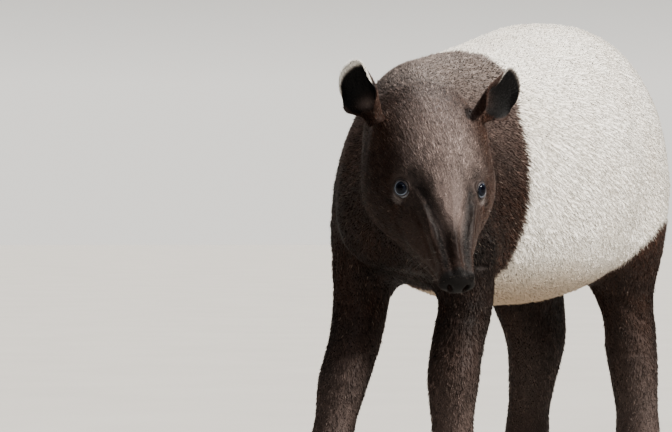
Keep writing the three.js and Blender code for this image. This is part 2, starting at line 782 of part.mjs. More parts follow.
function makeHead() {
  const faceEnd = headLength + 10;
  const face = { low: [-70, -150, -150], high: [faceEnd, 150, 150], cell: 13.5 };
  const whole = solid(meshOf(body, { ...face, frame: headFrame })).simplify(tolerance.face);
  const muzzle = { low: [240, -90, -120], high: [faceEnd, 90, 110], cell: 8.5 };
  const front = solid(meshOf(body, { ...muzzle, frame: headFrame })).simplify(tolerance.muzzle);
  const grooves = [lipGroove(1), lipGroove(-1)];
  const lowerLip = aheadOf(behind(front, jawCut), jawRear);

  let skullPart = behind(aheadOf(whole, napeCut), trunkCut).subtract(jawRoom);
  for (const eye of eyes) skullPart = skullPart.add(eyeBall(eye, eyeRadius + lidThickness));
  for (const eye of eyes) {
    skullPart = skullPart.subtract(eyeBall(eye, eyeRadius + gap + 0.1)).subtract(eyeOpening(eye));
    addNode(`eye_${eye.name}`, eyeBall(eye, eyeRadius), eyeGloss);
  }
  for (const ear of ears) {
    skullPart = skullPart.subtract(earLeaf(ear, gap));
    addNode(`ear_${ear.name}`, earLeaf(ear, 0), darkCoat);
  }
  let trunkPart = aheadOf(front, trunkCut).subtract(jawRoom);
  for (const { side } of bothSides) {
    const middle = onHead(headLength - 1, noseBend + side * nostril.apart, nostril.level);
    trunkPart = trunkPart.subtract(ball(middle, [headAlong, headLeft, headUp], nostril.size));
  }
  for (const groove of grooves) {
    skullPart = skullPart.subtract(groove);
    trunkPart = trunkPart.subtract(groove);
  }
  addNode("head", skullPart, faceCoat);
  addNode("trunk", trunkPart, faceCoat);
  addNode("lower_jaw", grooves.reduce((made, groove) => made.subtract(groove), lowerLip), faceCoat);
}

// A leg in three lengths, with a hoof round the front of each toe, a little proud of it
const hornProud = 0.6;
function makeLeg(leg) {
  const { kind, name, frame, foot, reach } = leg;
  const middleY = kind === "fore" ? -20 : 740;
  const low = [leg.side > 0 ? 10 : -290, middleY - 190, 60];
  const high = [leg.side > 0 ? 290 : -10, middleY + 190, 520];
  const whole = solid(meshOf(body, { low, high, cell: 22 })).simplify(tolerance.limb);
  const limb = whole.intersect(legBlock(leg, 0));
  const at = foot.clone().addScaledVector(frame.forward, reach);
  const sole = { low: [at.x - 75, at.y - 90, -8], high: [at.x + 75, at.y + 75, 100], cell: 19.5 };
  const grounded = solid(meshOf(body, sole)).simplify(tolerance.foot);
  let pad = behind(grounded, ankleCut[kind]).trimByPlane([0, 0, 1], 0);
  for (const toe of leg.toes) {
    const hoofCut = {
      point: toe.middle.clone().addScaledVector(toe.forward, -4),
      normal: toe.forward.clone().setZ(0.35).normalize(),
    };
    const directions = [toe.forward, toe.across, vec(0, 0, 1)];
    const shell = ball(toe.middle, directions, toe.size.map((s) => s + hornProud));
    const [half, width, height] = toe.size;
    const room = ball(toe.middle, directions, [half + 6, width + hornProud * 2, height + 6]);
    const offset = hoofCut.point.dot(hoofCut.normal);
    pad = pad.subtract(room.trimByPlane(hoofCut.normal.toArray(), offset - gap / 2));
    const hoof = aheadOf(shell, hoofCut).trimByPlane([0, 0, 1], 0);
    addNode(`hoof_${name}_${toe.name}`, hoof, hoofHorn);
  }
  addNode(`foot_${name}`, pad, darkCoat);
  addNode(`${name}_lower`, behind(aheadOf(limb, ankleCut[kind]), kneeCut[kind]), darkCoat);
  addNode(`${name}_upper`, aheadOf(limb, kneeCut[kind]), darkCoat);
}

// Tail: a short flattened stump whose root sits in a socket high on the rump. Spare makes it fatter.
function tailStump(spare) {
  const root = vec(0, 822, 640);
  const tip = vec(0, 884, 560);
  const along = tip.clone().sub(root).normalize();
  const length = root.distanceTo(tip);
  const thickness = [18, 18, 17.5, 16.5, 15, 13, 8.5];
  const profile = thickness.map((r, i) => {
    const t = (length * i) / (thickness.length - 1);
    return new THREE.Vector2(r + spare, t === 0 ? -spare : t + spare);
  });
  profile.unshift(new THREE.Vector2(0, -spare));
  profile.push(new THREE.Vector2(0, length + 2 + 2 * spare));
  const stump = new THREE.LatheGeometry(profile, 14);
  const high = new THREE.Vector3().crossVectors(vec(1, 0, 0), along);
  const frame = new THREE.Matrix4().makeBasis(vec(1, 0, 0), along, high).setPosition(root);
  return solid(stump.scale(1.3, 1, 1).applyMatrix4(frame));
}

makeTorso();
makeNeck();
makeHead();
for (const leg of legs) makeLeg(leg);
addNode("tail", tailStump(0), whiteCoat);

// The origin moves to the middle of the animal's box, on the floor.
const box = new THREE.Box3().setFromObject(tapir);
tapir.position.set(-(box.min.x + box.max.x) / 2, -(box.min.y + box.max.y) / 2, 0);

export default tapir;
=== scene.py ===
# A young Malayan tapir, life size, dressed over its frame: skin, short coat, eyes, hooves and whiskers.
import json
import math

import bpy
import numpy as np
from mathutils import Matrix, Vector
from mathutils.bvhtree import BVHTree
from mathutils.kdtree import KDTree

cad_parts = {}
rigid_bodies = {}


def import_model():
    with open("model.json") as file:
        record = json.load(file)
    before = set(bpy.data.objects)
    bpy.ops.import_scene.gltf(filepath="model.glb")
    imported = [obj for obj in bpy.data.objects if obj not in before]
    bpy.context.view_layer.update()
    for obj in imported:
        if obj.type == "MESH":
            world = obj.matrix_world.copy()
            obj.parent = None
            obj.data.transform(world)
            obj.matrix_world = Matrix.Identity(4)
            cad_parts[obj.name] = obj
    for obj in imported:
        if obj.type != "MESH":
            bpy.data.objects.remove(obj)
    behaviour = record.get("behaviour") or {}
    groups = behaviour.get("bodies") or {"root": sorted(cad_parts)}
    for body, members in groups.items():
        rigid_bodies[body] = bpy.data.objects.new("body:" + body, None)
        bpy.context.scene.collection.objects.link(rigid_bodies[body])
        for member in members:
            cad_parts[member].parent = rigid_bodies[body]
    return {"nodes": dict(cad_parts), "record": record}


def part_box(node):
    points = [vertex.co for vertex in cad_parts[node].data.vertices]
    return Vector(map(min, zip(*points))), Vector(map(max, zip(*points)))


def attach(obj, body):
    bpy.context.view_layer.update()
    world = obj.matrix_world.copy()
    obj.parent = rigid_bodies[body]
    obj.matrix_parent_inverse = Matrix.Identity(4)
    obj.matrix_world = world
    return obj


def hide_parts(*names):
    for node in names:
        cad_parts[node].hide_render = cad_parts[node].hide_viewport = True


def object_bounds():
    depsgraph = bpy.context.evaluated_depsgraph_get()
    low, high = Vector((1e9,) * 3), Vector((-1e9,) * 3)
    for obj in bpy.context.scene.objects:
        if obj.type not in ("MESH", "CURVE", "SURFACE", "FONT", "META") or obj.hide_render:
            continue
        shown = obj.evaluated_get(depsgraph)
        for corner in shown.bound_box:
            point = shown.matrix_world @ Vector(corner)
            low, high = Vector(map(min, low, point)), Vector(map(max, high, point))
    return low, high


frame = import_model()
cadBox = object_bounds()
rng = np.random.default_rng(7)
print("frame loaded,", len(frame["nodes"]), "nodes")


# Places, all worked out from the frame

def unit(v):
    v = np.asarray(v, float)
    return v / np.linalg.norm(v)


def unitRows(v):
    return v / np.linalg.norm(v, axis=1).clip(1e-6)[:, None]


def dots(a, b):
    return np.einsum("ij,ij->i", a, b)


def middleOf(node):
    low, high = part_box(node)
    return np.array((low + high) / 2)


# The body's own axes start on the floor between the shoulders; the soles say where that is.
footPlaces = {
    "foreleg_left": (0.098, -0.022), "foreleg_right": (-0.100, -0.022),
    "hindleg_left": (0.112, 0.722), "hindleg_right": (-0.110, 0.722),
}
soles = {m["name"].replace("sole_", ""): np.array(m["pos_m"]) for m in frame["record"]["mounts"]}
bodyStart = soles["hindleg_left"] - np.array([*footPlaces["hindleg_left"], 0])

eyeMiddle = {side: middleOf("eye_" + side) for side in ("left", "right")}
head = {
    "pitch": math.radians(41),     # how far the face points down
    "eyesAlong": 0.200,            # from the back of the skull to the eyes
    "eyesUp": 0.026,
    "length": 0.356,
    "noseBend": 0.003,             # the nose leans a little to the animal's left,
    "tipBend": 0.005,              # and its tip further
    "frameBend": 0.008,            # the frame's own bend, which is spread along the nose
}
headLeft = unit((eyeMiddle["left"] - eyeMiddle["right"]) * (1, 1, 0))
ahead = np.array([headLeft[1], -headLeft[0], 0])
headAlong = math.cos(head["pitch"]) * ahead - math.sin(head["pitch"]) * np.array([0, 0, 1])
headUp = np.cross(headAlong, headLeft)
headBack = sum(eyeMiddle.values()) / 2 - head["eyesAlong"] * headAlong - head["eyesUp"] * headUp
headAxes = np.array([headAlong, headLeft, headUp])


def ease(x, low, high):
    f = np.clip((x - low) / (high - low), 0, 1)
    return f * f * (3 - 2 * f)


def noseShift(t):
    return head["noseBend"] * ease(t, 0.190, head["length"]) + head["tipBend"] * ease(t, 0.300, 0.370)


def onHead(points):
    # Along, left and up from the back of the skull, with the bend of the trunk taken out
    q = (points - headBack) @ headAxes.T
    q[:, 1] -= noseShift(q[:, 0])
    return q


def hill(x, middle, reach):
    return np.exp(-((x - middle) / reach) ** 2)


def faceShare(q, start, full):
    # How much of a point is head, from nothing at start to all of it at full, along the head
    inside = ease(np.abs(q[:, 1]), 0.150, 0.118) * ease(q[:, 2], -0.168, -0.128)
    return ease(q[:, 0], start, full) * inside


def waves(p, scale, seed=0):
    # Cheap smooth noise from a few crossed sines, about -1 to 1
    q = p * scale
    a = np.sin(q[:, 0] * 1.7 + q[:, 1] * 2.3 + seed) * np.sin(q[:, 2] * 2.1 - q[:, 0] * 1.1 + 1.3 * seed)
    b = np.sin(q[:, 1] * 3.9 - q[:, 2] * 2.7 + 2.1 * seed) * np.sin(q[:, 0] * 4.3 + q[:, 2] * 1.9 + seed)
    return 0.65 * a + 0.35 * b


def alongLine(points, line):
    # Distance of each point from a line through several places, and how far along it, 0 to 1
    line = np.asarray(line, float)
    best = np.full(len(points), 1e9)
    share = np.zeros(len(points))
    for i in range(len(line) - 1):
        step = line[i + 1] - line[i]
        f = np.clip((points - line[i]) @ step / (step @ step), 0, 1)
        away = np.linalg.norm(points - line[i] - f[:, None] * step, axis=1)
        near = away < best
        best[near] = away[near]
        share[near] = ((i + f) / (len(line) - 1))[near]
    return best, share


# Helpers for pieces

def only(piece):
    bpy.ops.object.select_all(action="DESELECT")
    piece.select_set(True)
    bpy.context.view_layer.objects.active = piece


def edited(piece, operator, **settings):
    # Runs one operator on the whole mesh in edit mode
    only(piece)
    bpy.ops.object.mode_set(mode="EDIT")
    bpy.ops.mesh.select_all(action="SELECT")
    operator(**settings)
    bpy.ops.object.mode_set(mode="OBJECT")


def added(operator, name, **settings):
    bpy.ops.object.select_all(action="DESELECT")
    operator(**settings)
    bpy.context.object.name = name
    return bpy.context.object


def newPiece(name, data):
    piece = bpy.data.objects.new(name, data)
    bpy.context.scene.collection.objects.link(piece)
    return piece


def copyNode(node, name):
    piece = newPiece(name, frame["nodes"][node].data.copy())
    piece.data.materials.clear()
    edited(piece, bpy.ops.mesh.remove_doubles, threshold=0.00002)
    return piece


def applied(piece, kind, **settings):
    only(piece)
    modifier = piece.modifiers.new(kind.lower(), kind)
    for key, value in settings.items():
        setattr(modifier, key, value)
    bpy.ops.object.modifier_apply(modifier=modifier.name)


def numbersOf(items, field, width, kind=float):
    flat = np.empty(len(items) * width, kind)
    items.foreach_get(field, flat)
    return flat.reshape(-1, width)


def pointsOf(piece):
    return numbersOf(piece.data.vertices, "co", 3)


def normalsOf(piece):
    return numbersOf(piece.data.vertex_normals, "vector", 3)


def edgesOf(piece):
    return numbersOf(piece.data.edges, "vertices", 2, np.int32)


def setPoints(piece, points):
    piece.data.vertices.foreach_set("co", np.asarray(points, np.float32).ravel())
    piece.data.update()


def treeOf(points):
    tree = KDTree(len(points))
    for i, co in enumerate(points):
        tree.insert(co, i)
    tree.balance()
    return tree


def smoothed(piece, finish):
    only(piece)
    bpy.ops.object.shade_smooth()
    piece.data.materials.clear()
    piece.data.materials.append(finishes[finish])


def evened(points, edges, rounds, weight=1.0, back=0.53):
    # Smooths a mesh without shrinking it: each round steps forward and a little further back
    p = points.copy()
    size = len(p)
    count = np.bincount(edges.ravel(), minlength=size).clip(1)
    weight = np.broadcast_to(weight, size)
    for _ in range(rounds):
        for step in (0.5, -back):
            for k in range(3):
                total = np.bincount(edges[:, 0], p[edges[:, 1], k], size)
                total += np.bincount(edges[:, 1], p[edges[:, 0], k], size)
                p[:, k] += step * weight * (total / count - p[:, k])
    return p


def setAttribute(piece, name, values, kind="FLOAT_COLOR"):
    layer = piece.data.attributes.get(name) or piece.data.attributes.new(name, kind, "POINT")
    field = {"FLOAT_COLOR": "color", "FLOAT": "value"}[kind]
    layer.data.foreach_set(field, np.asarray(values, np.float32).ravel())


# Materials

def newMaterial(name):
    material = bpy.data.materials.new(name)
    material.use_nodes = True
    tree = material.node_tree
    return material, tree, tree.nodes["Principled BSDF"]


def addNode(tree, kind, inputs=None, **settings):
    node = tree.nodes.new(kind)
    for key, value in settings.items():
        setattr(node, key, value)
    for key, value in (inputs or {}).items():
        if isinstance(value, bpy.types.NodeSocket):
            tree.links.new(value, node.inputs[key])
        else:
            node.inputs[key].default_value = value
    return node


def mixed(tree, factor, a, b, blend="MIX"):
    inputs = {0: factor, 6: a, 7: b}
    return addNode(tree, "ShaderNodeMix", inputs, data_type="RGBA", blend_type=blend).outputs[2]


def counted(tree, operation, a, b, clamp=False):
    return addNode(tree, "ShaderNodeMath", {0: a, 1: b}, operation=operation, use_clamp=clamp).outputs[0]


def ranged(tree, value, low, high, toLow=0.0, toHigh=1.0):
    inputs = {"Value": value, "From Min": low, "From Max": high, "To Min": toLow, "To Max": toHigh}
    return addNode(tree, "ShaderNodeMapRange", inputs).outputs[0]


def noise(tree, coordinates, scale, detail=2.0, roughness=0.5):
    inputs = {"Vector": coordinates, "Scale": scale, "Detail": detail, "Roughness": roughness}
    return addNode(tree, "ShaderNodeTexNoise", inputs).outputs[0]


def objectPlace(tree):
    return addNode(tree, "ShaderNodeTexCoord").outputs["Object"]


def parted(tree, colour):
    return addNode(tree, "ShaderNodeSeparateColor", {0: colour}).outputs


def amounts(tree, name):
    # The three amounts that a mesh attribute holds at each point
    return parted(tree, addNode(tree, "ShaderNodeAttribute", attribute_name=name).outputs["Color"])


def addBump(tree, shader, height, strength, distance):
    bump = addNode(tree, "ShaderNodeBump", {"Height": height, "Strength": strength, "Distance": distance})
    tree.links.new(bump.outputs[0], shader.inputs["Normal"])


coatColours = {
    "dark": (0.0055, 0.0036, 0.0032, 1),    # near black brown of the legs and neck
    "warm": (0.050, 0.021, 0.0125, 1),      # reddish edge of shoulder and thigh; also part of the painted highlight on the top of the neck
    "grey": (0.150, 0.115, 0.104, 1),       # forehead and bridge of the nose; also painted highlight on the top of the neck, the lower legs and the wall of the nose
    "white": (0.860, 0.820, 0.750, 1),      # saddle; also a little painted highlight on the top of the neck
    "ivory": (0.79, 0.74, 0.66, 1),         # clouds in the saddle
    "cream": (0.500, 0.370, 0.250, 1),      # belly, duller low down: its own tone and painted shade under the body
    "black": (0.002, 0.0015, 0.0015, 1),    # rims of the eyes, nostrils, inside of the ears; also painted shade in the trough and hollows of the face
    "bluish": (0.150, 0.130, 0.125, 1),     # bare skin under the eyes
    "fleck": (0.16, 0.12, 0.10, 1),         # fine pale flecks all over the dark coat
    "paleHair": (0.30, 0.24, 0.20, 1),      # single pale hairs
    "bareSkin": (0.42, 0.38, 0.36, 1),      # darkens the skin between the hairs: its own darker tone and painted shade under the coat
}


def coatColour(tree, spread):
    # The markings, painted light and painted shade as a colour: the attributes say how much of each, and
    # noise breaks them up
    place = objectPlace(tree)
    white, warm, grey = amounts(tree, "marks")[:3]
    cream, bluish, black = amounts(tree, "marksToo")[:3]
    broad = noise(tree, place, 9.0, 4.0)
    fine = noise(tree, place, 330.0, 2.0, 0.65)
    colour = mixed(tree, ranged(tree, broad, 0.35, 0.7, 0.0, 0.45), coatColours["dark"], coatColours["warm"])
    colour = mixed(tree, warm, colour, coatColours["warm"])
    colour = mixed(tree, grey, colour, coatColours["grey"])
    fleck = ranged(tree, fine, 0.5, 0.78, 0.0, spread)
    colour = mixed(tree, fleck, colour, coatColours["fleck"])
    saddle = mixed(tree, ranged(tree, broad, 0.42, 0.66), coatColours["white"], coatColours["ivory"])
    saddle = mixed(tree, cream, saddle, coatColours["cream"])
    colour = mixed(tree, white, colour, saddle)
    colour = mixed(tree, bluish, colour, coatColours["bluish"])
    return mixed(tree, black, colour, coatColours["black"]), white


def skinMaterial():
    material, tree, shader = newMaterial("tapirSkin")
    colour, white = coatColour(tree, 0.25)
    # Painted shade and the skin's own darker tone: the skin between the hairs darkened, less under the white
    # saddle
    shade = counted(tree, "SUBTRACT", 0.85, counted(tree, "MULTIPLY", white, 0.7))
    colour = mixed(tree, shade, colour, coatColours["bareSkin"], "MULTIPLY")
    tree.links.new(colour, shader.inputs["Base Color"])
    place = objectPlace(tree)
    pores = noise(tree, place, 900.0, 3.0, 0.7)
    folds = noise(tree, place, 120.0, 4.0, 0.6)
    height = counted(tree, "ADD", counted(tree, "MULTIPLY", pores, 0.5), folds)
    addBump(tree, shader, height, 0.35, 0.0012)
    tree.links.new(ranged(tree, pores, 0.3, 0.7, 0.5, 0.72), shader.inputs["Roughness"])
    shader.inputs["Specular IOR Level"].default_value = 0.10
    return material


def coatMaterial():
    material, tree, shader = newMaterial("tapirCoat")
    colour = coatColour(tree, 0.35)[0]
    shade, tip, fleck = amounts(tree, "hair")[:3]
    dark = counted(tree, "SUBTRACT", 1.0, parted(tree, colour)[0], True)
    share = counted(tree, "MULTIPLY", fleck, 0.55)
    pale = counted(tree, "MULTIPLY", share, counted(tree, "POWER", dark, 6.0))
    colour = mixed(tree, pale, colour, coatColours["paleHair"])
    lift = counted(tree, "MULTIPLY", shade, ranged(tree, tip, 0.0, 1.0, 1.0, 3.0))
    grey = addNode(tree, "ShaderNodeCombineColor", {0: lift, 1: lift, 2: lift}).outputs[0]
    colour = mixed(tree, 1.0, colour, grey, "MULTIPLY")
    tree.links.new(colour, shader.inputs["Base Color"])
    shader.inputs["Roughness"].default_value = 0.5
    shader.inputs["Specular IOR Level"].default_value = 0.08
    return material


eyeColours = {
    "pupil": (0.001, 0.001, 0.002, 1), "iris": (0.005, 0.006, 0.010, 1),
    "ring": (0.150, 0.180, 0.225, 1), "rim": (0.24, 0.24, 0.26, 1),
}


def eyeMaterial():
    # Dark pupil and iris, a pale bluish ring round them, a wet surface; turn is degrees from the gaze
    material, tree, shader = newMaterial("tapirEye")
    place = objectPlace(tree)
    turn = addNode(tree, "ShaderNodeAttribute", attribute_name="turn").outputs["Fac"]
    stripes = noise(tree, place, 700.0, 3.0, 0.6)
    uneven = counted(tree, "ADD", turn, ranged(tree, stripes, 0.3, 0.7, -1.4, 1.4))
    iris = mixed(tree, ranged(tree, uneven, 16, 24), eyeColours["pupil"], eyeColours["iris"])
    ring = mixed(tree, ranged(tree, uneven, 38, 43), iris, eyeColours["ring"])
    rim = mixed(tree, ranged(tree, uneven, 53, 60), ring, eyeColours["rim"])
    tree.links.new(rim, shader.inputs["Base Color"])
    shader.inputs["Roughness"].default_value = 0.35
    shader.inputs["Specular IOR Level"].default_value = 0.0
    shader.inputs["Coat Weight"].default_value = 0.30
    shader.inputs["Coat IOR"].default_value = 1.30
    shader.inputs["Coat Roughness"].default_value = 0.03
    return material


hornColours = {
    "dark": (0.012, 0.009, 0.008, 1), "brown": (0.045, 0.033, 0.026, 1),
    "lines": (0.10, 0.078, 0.060, 1), "worn": (0.20, 0.165, 0.13, 1),      # worn pale at the ground
}


def hornMaterial():
    material, tree, shader = newMaterial("hoofHorn")
    place = objectPlace(tree)
    stretched = addNode(tree, "ShaderNodeMapping", {"Vector": place, "Scale": (1, 1, 0.16)}).outputs[0]
    lines = noise(tree, stretched, 420.0, 3.0, 0.6)
    broad = noise(tree, place, 60.0, 3.0)
    colour = mixed(tree, ranged(tree, broad, 0.35, 0.7), hornColours["dark"], hornColours["brown"])
    colour = mixed(tree, ranged(tree, lines, 0.5, 0.8, 0, 0.6), colour, hornColours["lines"])
    low = addNode(tree, "ShaderNodeSeparateXYZ", {0: place}).outputs[2]
    colour = mixed(tree, ranged(tree, low, 0.012, 0.0, 0, 0.5), colour, hornColours["worn"])
    tree.links.new(colour, shader.inputs["Base Color"])
    addBump(tree, shader, lines, 0.5, 0.0006)
    tree.links.new(ranged(tree, lines, 0.3, 0.8, 0.32, 0.55), shader.inputs["Roughness"])
    return material


lidColours = ((0.010, 0.008, 0.009, 1), (0.040, 0.032, 0.033, 1))
whiskerColours = ((0.025, 0.018, 0.015, 1), (0.30, 0.27, 0.24, 1))


def lidMaterial():
    material, tree, shader = newMaterial("tapirLid")
    place = objectPlace(tree)
    grain = noise(tree, place, 800.0, 3.0, 0.6)
    colour = mixed(tree, ranged(tree, grain, 0.35, 0.7), *lidColours)
    tree.links.new(colour, shader.inputs["Base Color"])
    addBump(tree, shader, grain, 0.4, 0.0005)
    shader.inputs["Roughness"].default_value = 0.4
    shader.inputs["Specular IOR Level"].default_value = 0.2
    return material


def whiskerMaterial():
    material, tree, shader = newMaterial("tapirWhisker")
    place = objectPlace(tree)
    patches = ranged(tree, noise(tree, place, 30.0), 0.50, 0.66)
    colour = mixed(tree, patches, *whiskerColours)
    tree.links.new(colour, shader.inputs["Base Color"])
    shader.inputs["Roughness"].default_value = 0.4
    return material


finishes = {
    "skin": skinMaterial(), "coat": coatMaterial(), "eye": eyeMaterial(), "horn": hornMaterial(),
    "lid": lidMaterial(), "whisker": whiskerMaterial(),
}
print("materials ready")


# Skin: the flesh nodes grown into one, evened out, and drawn in by the depth of the coat

skin = {
    "voxel": 0.0074,
    "rounds": 24,                # of smoothing after the remesh
    "overlap": 0.0006,           # closes the parting gaps before the union
    "coatDepth": {"body": 0.0022, "head": 0.0012, "foot": 0.0008, "ear": 0.0003},
    "fineAroundEyes": 0.036, "finerAroundEyes": 0.025,      # how far the finer meshes reach
    "flatBelow": 0.0042,         # the soles are pressed flat on the floor
}
legNames = list(footPlaces)
fleshNodes = ["barrel", "forequarters", "neck", "head", "trunk", "lower_jaw", "tail"]
fleshNodes += [part for leg in legNames for part in (leg + "_upper", leg + "_lower", "foot_" + leg)]


def makeBody():
    others = bpy.data.collections.new("others")
    bpy.context.scene.collection.children.link(others)
    whole = None
    for node in fleshNodes:
        piece = copyNode(node, "flesh_" + node)
        edited(piece, bpy.ops.transform.shrink_fatten, value=skin["overlap"])
        if whole is None:
            whole = piece
            continue
        others.objects.link(piece)
        bpy.context.scene.collection.objects.unlink(piece)
    applied(whole, "BOOLEAN", operation="UNION", operand_type="COLLECTION", collection=others,
            solver="MANIFOLD")
    for piece in list(others.objects):
        bpy.data.objects.remove(piece)
    bpy.data.collections.remove(others)
    polygons = [tuple(face.vertices) for face in whole.data.polygons]
    shape = BVHTree.FromPolygons([tuple(co) for co in pointsOf(whole)], polygons)
    applied(whole, "REMESH", mode="VOXEL", voxel_size=skin["voxel"])
    whole.name = "tapirSkin"
    points = pointsOf(whole)
    q = onHead(points)
    onFace = faceShare(q, -0.02, 0.06)
    low = ease(points[:, 2], 0.30, 0.12)
    weight = 1 - 0.25 * onFace - 0.35 * low
    setPoints(whole, evened(points, edgesOf(whole), skin["rounds"], weight))
    print("body grown,", len(points), "points")
    return whole, shape


def refined(piece, chosen):
    # Cuts the faces whose middles are chosen into four
    pick = chosen(numbersOf(piece.data.polygons, "center", 3))
    only(piece)
    bpy.ops.object.mode_set(mode="EDIT")
    bpy.ops.mesh.select_mode(type="FACE")
    bpy.ops.mesh.select_all(action="DESELECT")
    bpy.ops.object.mode_set(mode="OBJECT")
    piece.data.polygons.foreach_set("select", pick)
    bpy.ops.object.mode_set(mode="EDIT")
    bpy.ops.mesh.subdivide(number_cuts=1, smoothness=0.0, ngon=False, quadcorner="INNERVERT")
    bpy.ops.object.mode_set(mode="OBJECT")


def faceZone(middles):
    q = onHead(middles)
    return (q[:, 0] > 0.035) & (np.abs(q[:, 1]) < 0.15) & (np.abs(q[:, 2]) < 0.16)


def nearEyes(points, reach):
    near = np.zeros(len(points), bool)
    for middle in eyeMiddle.values():
        near |= np.linalg.norm(points - middle, axis=1) < reach
    return near


def fineZone(middles):
    q = onHead(middles)
    muzzle = (q[:, 0] > 0.225) & (np.abs(q[:, 1]) < 0.12) & (np.abs(q[:, 2]) < 0.13)
    return muzzle | nearEyes(middles, skin["fineAroundEyes"])


def lidZone(middles):
    return nearEyes(middles, skin["finerAroundEyes"])


def drawnBack(piece, shape):
    # Lays the face's points back on the frame's own form, apart from the eyes and the tip of the nose
    points = pointsOf(piece)
    q = onHead(points)
    share = faceShare(q, 0.03, 0.09) * ease(q[:, 0], 0.338, 0.322)
    for middle in eyeMiddle.values():
        share *= ease(np.linalg.norm(points - middle, axis=1), 0.018, 0.026)
    for i in np.flatnonzero(share > 0.01):
        place = np.array(shape.find_nearest(points[i])[0])
        points[i] += share[i] * (place - points[i])
    setPoints(piece, points)


ears = {
    "length": 0.084, "radius": 0.038, "tip": 0.040, "sink": 0.020, "smoothing": 2,
    "left": {"root": (0.066, 0.071, 0.073), "along": (0.53, 0.32, 0.79), "opening": (1, -0.1, 0)},
    "right": {"root": (0.070, -0.086, 0.073), "along": (-0.34, -0.17, 0.93), "opening": (-0.2, -0.98, 0)},
}


def makeEar(side):
    blade = copyNode("ear_" + side, "earBlade_" + side)
    limit = math.radians(50)
    edited(blade, bpy.ops.mesh.tris_convert_to_quads, face_threshold=limit, shape_threshold=limit)
    applied(blade, "SUBSURF", levels=ears["smoothing"], render_levels=ears["smoothing"])
    setPoints(blade, evened(pointsOf(blade), edgesOf(blade), 6))
    return blade


body, frameShape = makeBody()
for zone, rounds in ((faceZone, 5), (fineZone, 6), (lidZone, 5)):       # each finer, and smoothed again
    refined(body, zone)
    drawnBack(body, frameShape)
    setPoints(body, evened(pointsOf(body), edgesOf(body), rounds, zone(pointsOf(body)).astype(float)))
print("head refined,", len(body.data.vertices), "points")

earBlades = {side: makeEar(side) for side in ("left", "right")}
earPoints = {side: pointsOf(blade) for side, blade in earBlades.items()}


def joinEars():
    # Unions the ears with the head and softens the seams
    ofEars = np.concatenate(list(earPoints.values()))
    bare, blades = treeOf(pointsOf(body)), treeOf(ofEars)
    for blade in earBlades.values():
        applied(body, "BOOLEAN", operation="UNION", object=blade, solver="MANIFOLD")
        bpy.data.objects.remove(blade)
    points = pointsOf(body)
    near = np.flatnonzero(np.linalg.norm(points - np.mean(ofEars, axis=0), axis=1) < 0.25)
    weight = np.zeros(len(points))
    for i in near:
        toSkin = bare.find(points[i])[2]
        toBlade = blades.find(points[i])[2]
        weight[i] = float(ease(np.array(max(toSkin, toBlade)), 0.009, 0.003))
    setPoints(body, evened(points, edgesOf(body), 8, weight, back=0.3))


joinEars()
print("ears joined,", len(body.data.vertices), "points")


def nearEars(points):
    # Where each point lies on an ear: up it, 0 at the head and 1 at the rim, round it, -1 to 1 from rim to
    # rim, and out from the middle of its blade; which ear is 1 left, 2 right, and 0 off the ears
    up, round_, out = np.zeros((3, len(points)))
    which = np.zeros(len(points), int)
    for k, side in enumerate(("left", "right")):
        place = ears[side]
        along = unit(place["along"])
        open_ = unit(np.array(place["opening"]) - along * (along @ place["opening"]))
        across = np.cross(open_, along)
        d = points - (headBack + np.array(place["root"]) @ headAxes)
        x, y, z = d @ across, d @ open_, d @ along
        s = np.clip((z + ears["sink"]) / (ears["length"] + ears["sink"]), 0, 1)
        for _ in range(8):
            radius = ears["radius"] * (0.34 + 0.66 * ease(s, 0.12, 0.72)) * (1 - 0.12 * ease(s, 0.6, 1))
            middle = radius + 0.010 * s * s
            turn = np.arctan2(x, middle - y) / np.radians(148 - 82 * ease(s, 0, 0.8))
            drop = ears["tip"] * ease(s, 0, 1) * (1 - np.sqrt(1 - 0.98 * np.clip(turn, -1, 1) ** 2))
            s = 0.5 * s + 0.5 * np.clip((z + ears["sink"] + drop) / (ears["length"] + ears["sink"]), 0, 1)
        off = np.hypot(x, y - middle) - radius
        on = (np.abs(off) < 0.008) & (np.abs(turn) < 1.25) & (z > 0.004) & (z < ears["length"] + 0.012)
        up, round_, out = np.where(on, (s, turn, off), (up, round_, out))
        which = np.where(on, k + 1, which)
    return up, round_, out, which


# Depth of the coat, then the forms that the frame is too plain for

noseTrough = [(196, 54, 60), (214, 43, 56), (238, 33, 46), (256, 26, 40), (272, 19.5, 33), (288, 15, 26),
              (306, 12, 17), (326, 11, 4), (346, 10, -10)]
noseWall = [(244, 40, 34), (260, 35, 29), (276, 32, 20), (292, 29, 10), (318, 24, -3), (346, 22, -19)]
noseSide = [(250, 33, 38), (258, 31, 36), (274, 26, 27), (290, 22, 18), (312, 18, 7), (336, 17, -8)]
# name: reach and lift, then the line it follows, in millimetres on the head's axes, alike on both sides
headForms = {
    "nose trough": (4.5, -5.0, noseTrough),
    "inner eye hollow": (9.0, -6.0, [(198, 54, 58), (212, 46, 54), (228, 39, 48)]),
    "side of the nose": (6.0, -3.6, noseSide),
    "wall of the nose": (3.2, 3.0, noseWall),
    "behind the wall": (5.0, -2.2, [(236, 50, 22), (262, 44, 14), (290, 36, -4), (318, 29, -20)]),
    "tear line": (4.0, -1.8, [(214, 62, 18), (226, 56, 6), (240, 50, -8)]),
    "under the pouch": (4.5, -3.0, [(207, 74, 0), (215, 70, -6), (222, 64, -6)]),
    "cheek fold": (6.0, -2.2, [(216, 70, -14), (226, 66, -24), (240, 58, -32)]),
    "mouth corner": (4.5, -2.5, [(232, 50, -45), (244, 45, -51)]),
    "nostril wing": (5.0, 2.2, [(344, 25, -30), (348, 26, -40)]),
}
mouth = {"corner": 243, "front": 309, "level": -51, "slope": 0.07, "reach": 1.9, "lift": -3.6}
trunkRings = {"wave": 0.92, "wander": 1.4, "lift": 0.15, "above": -48}


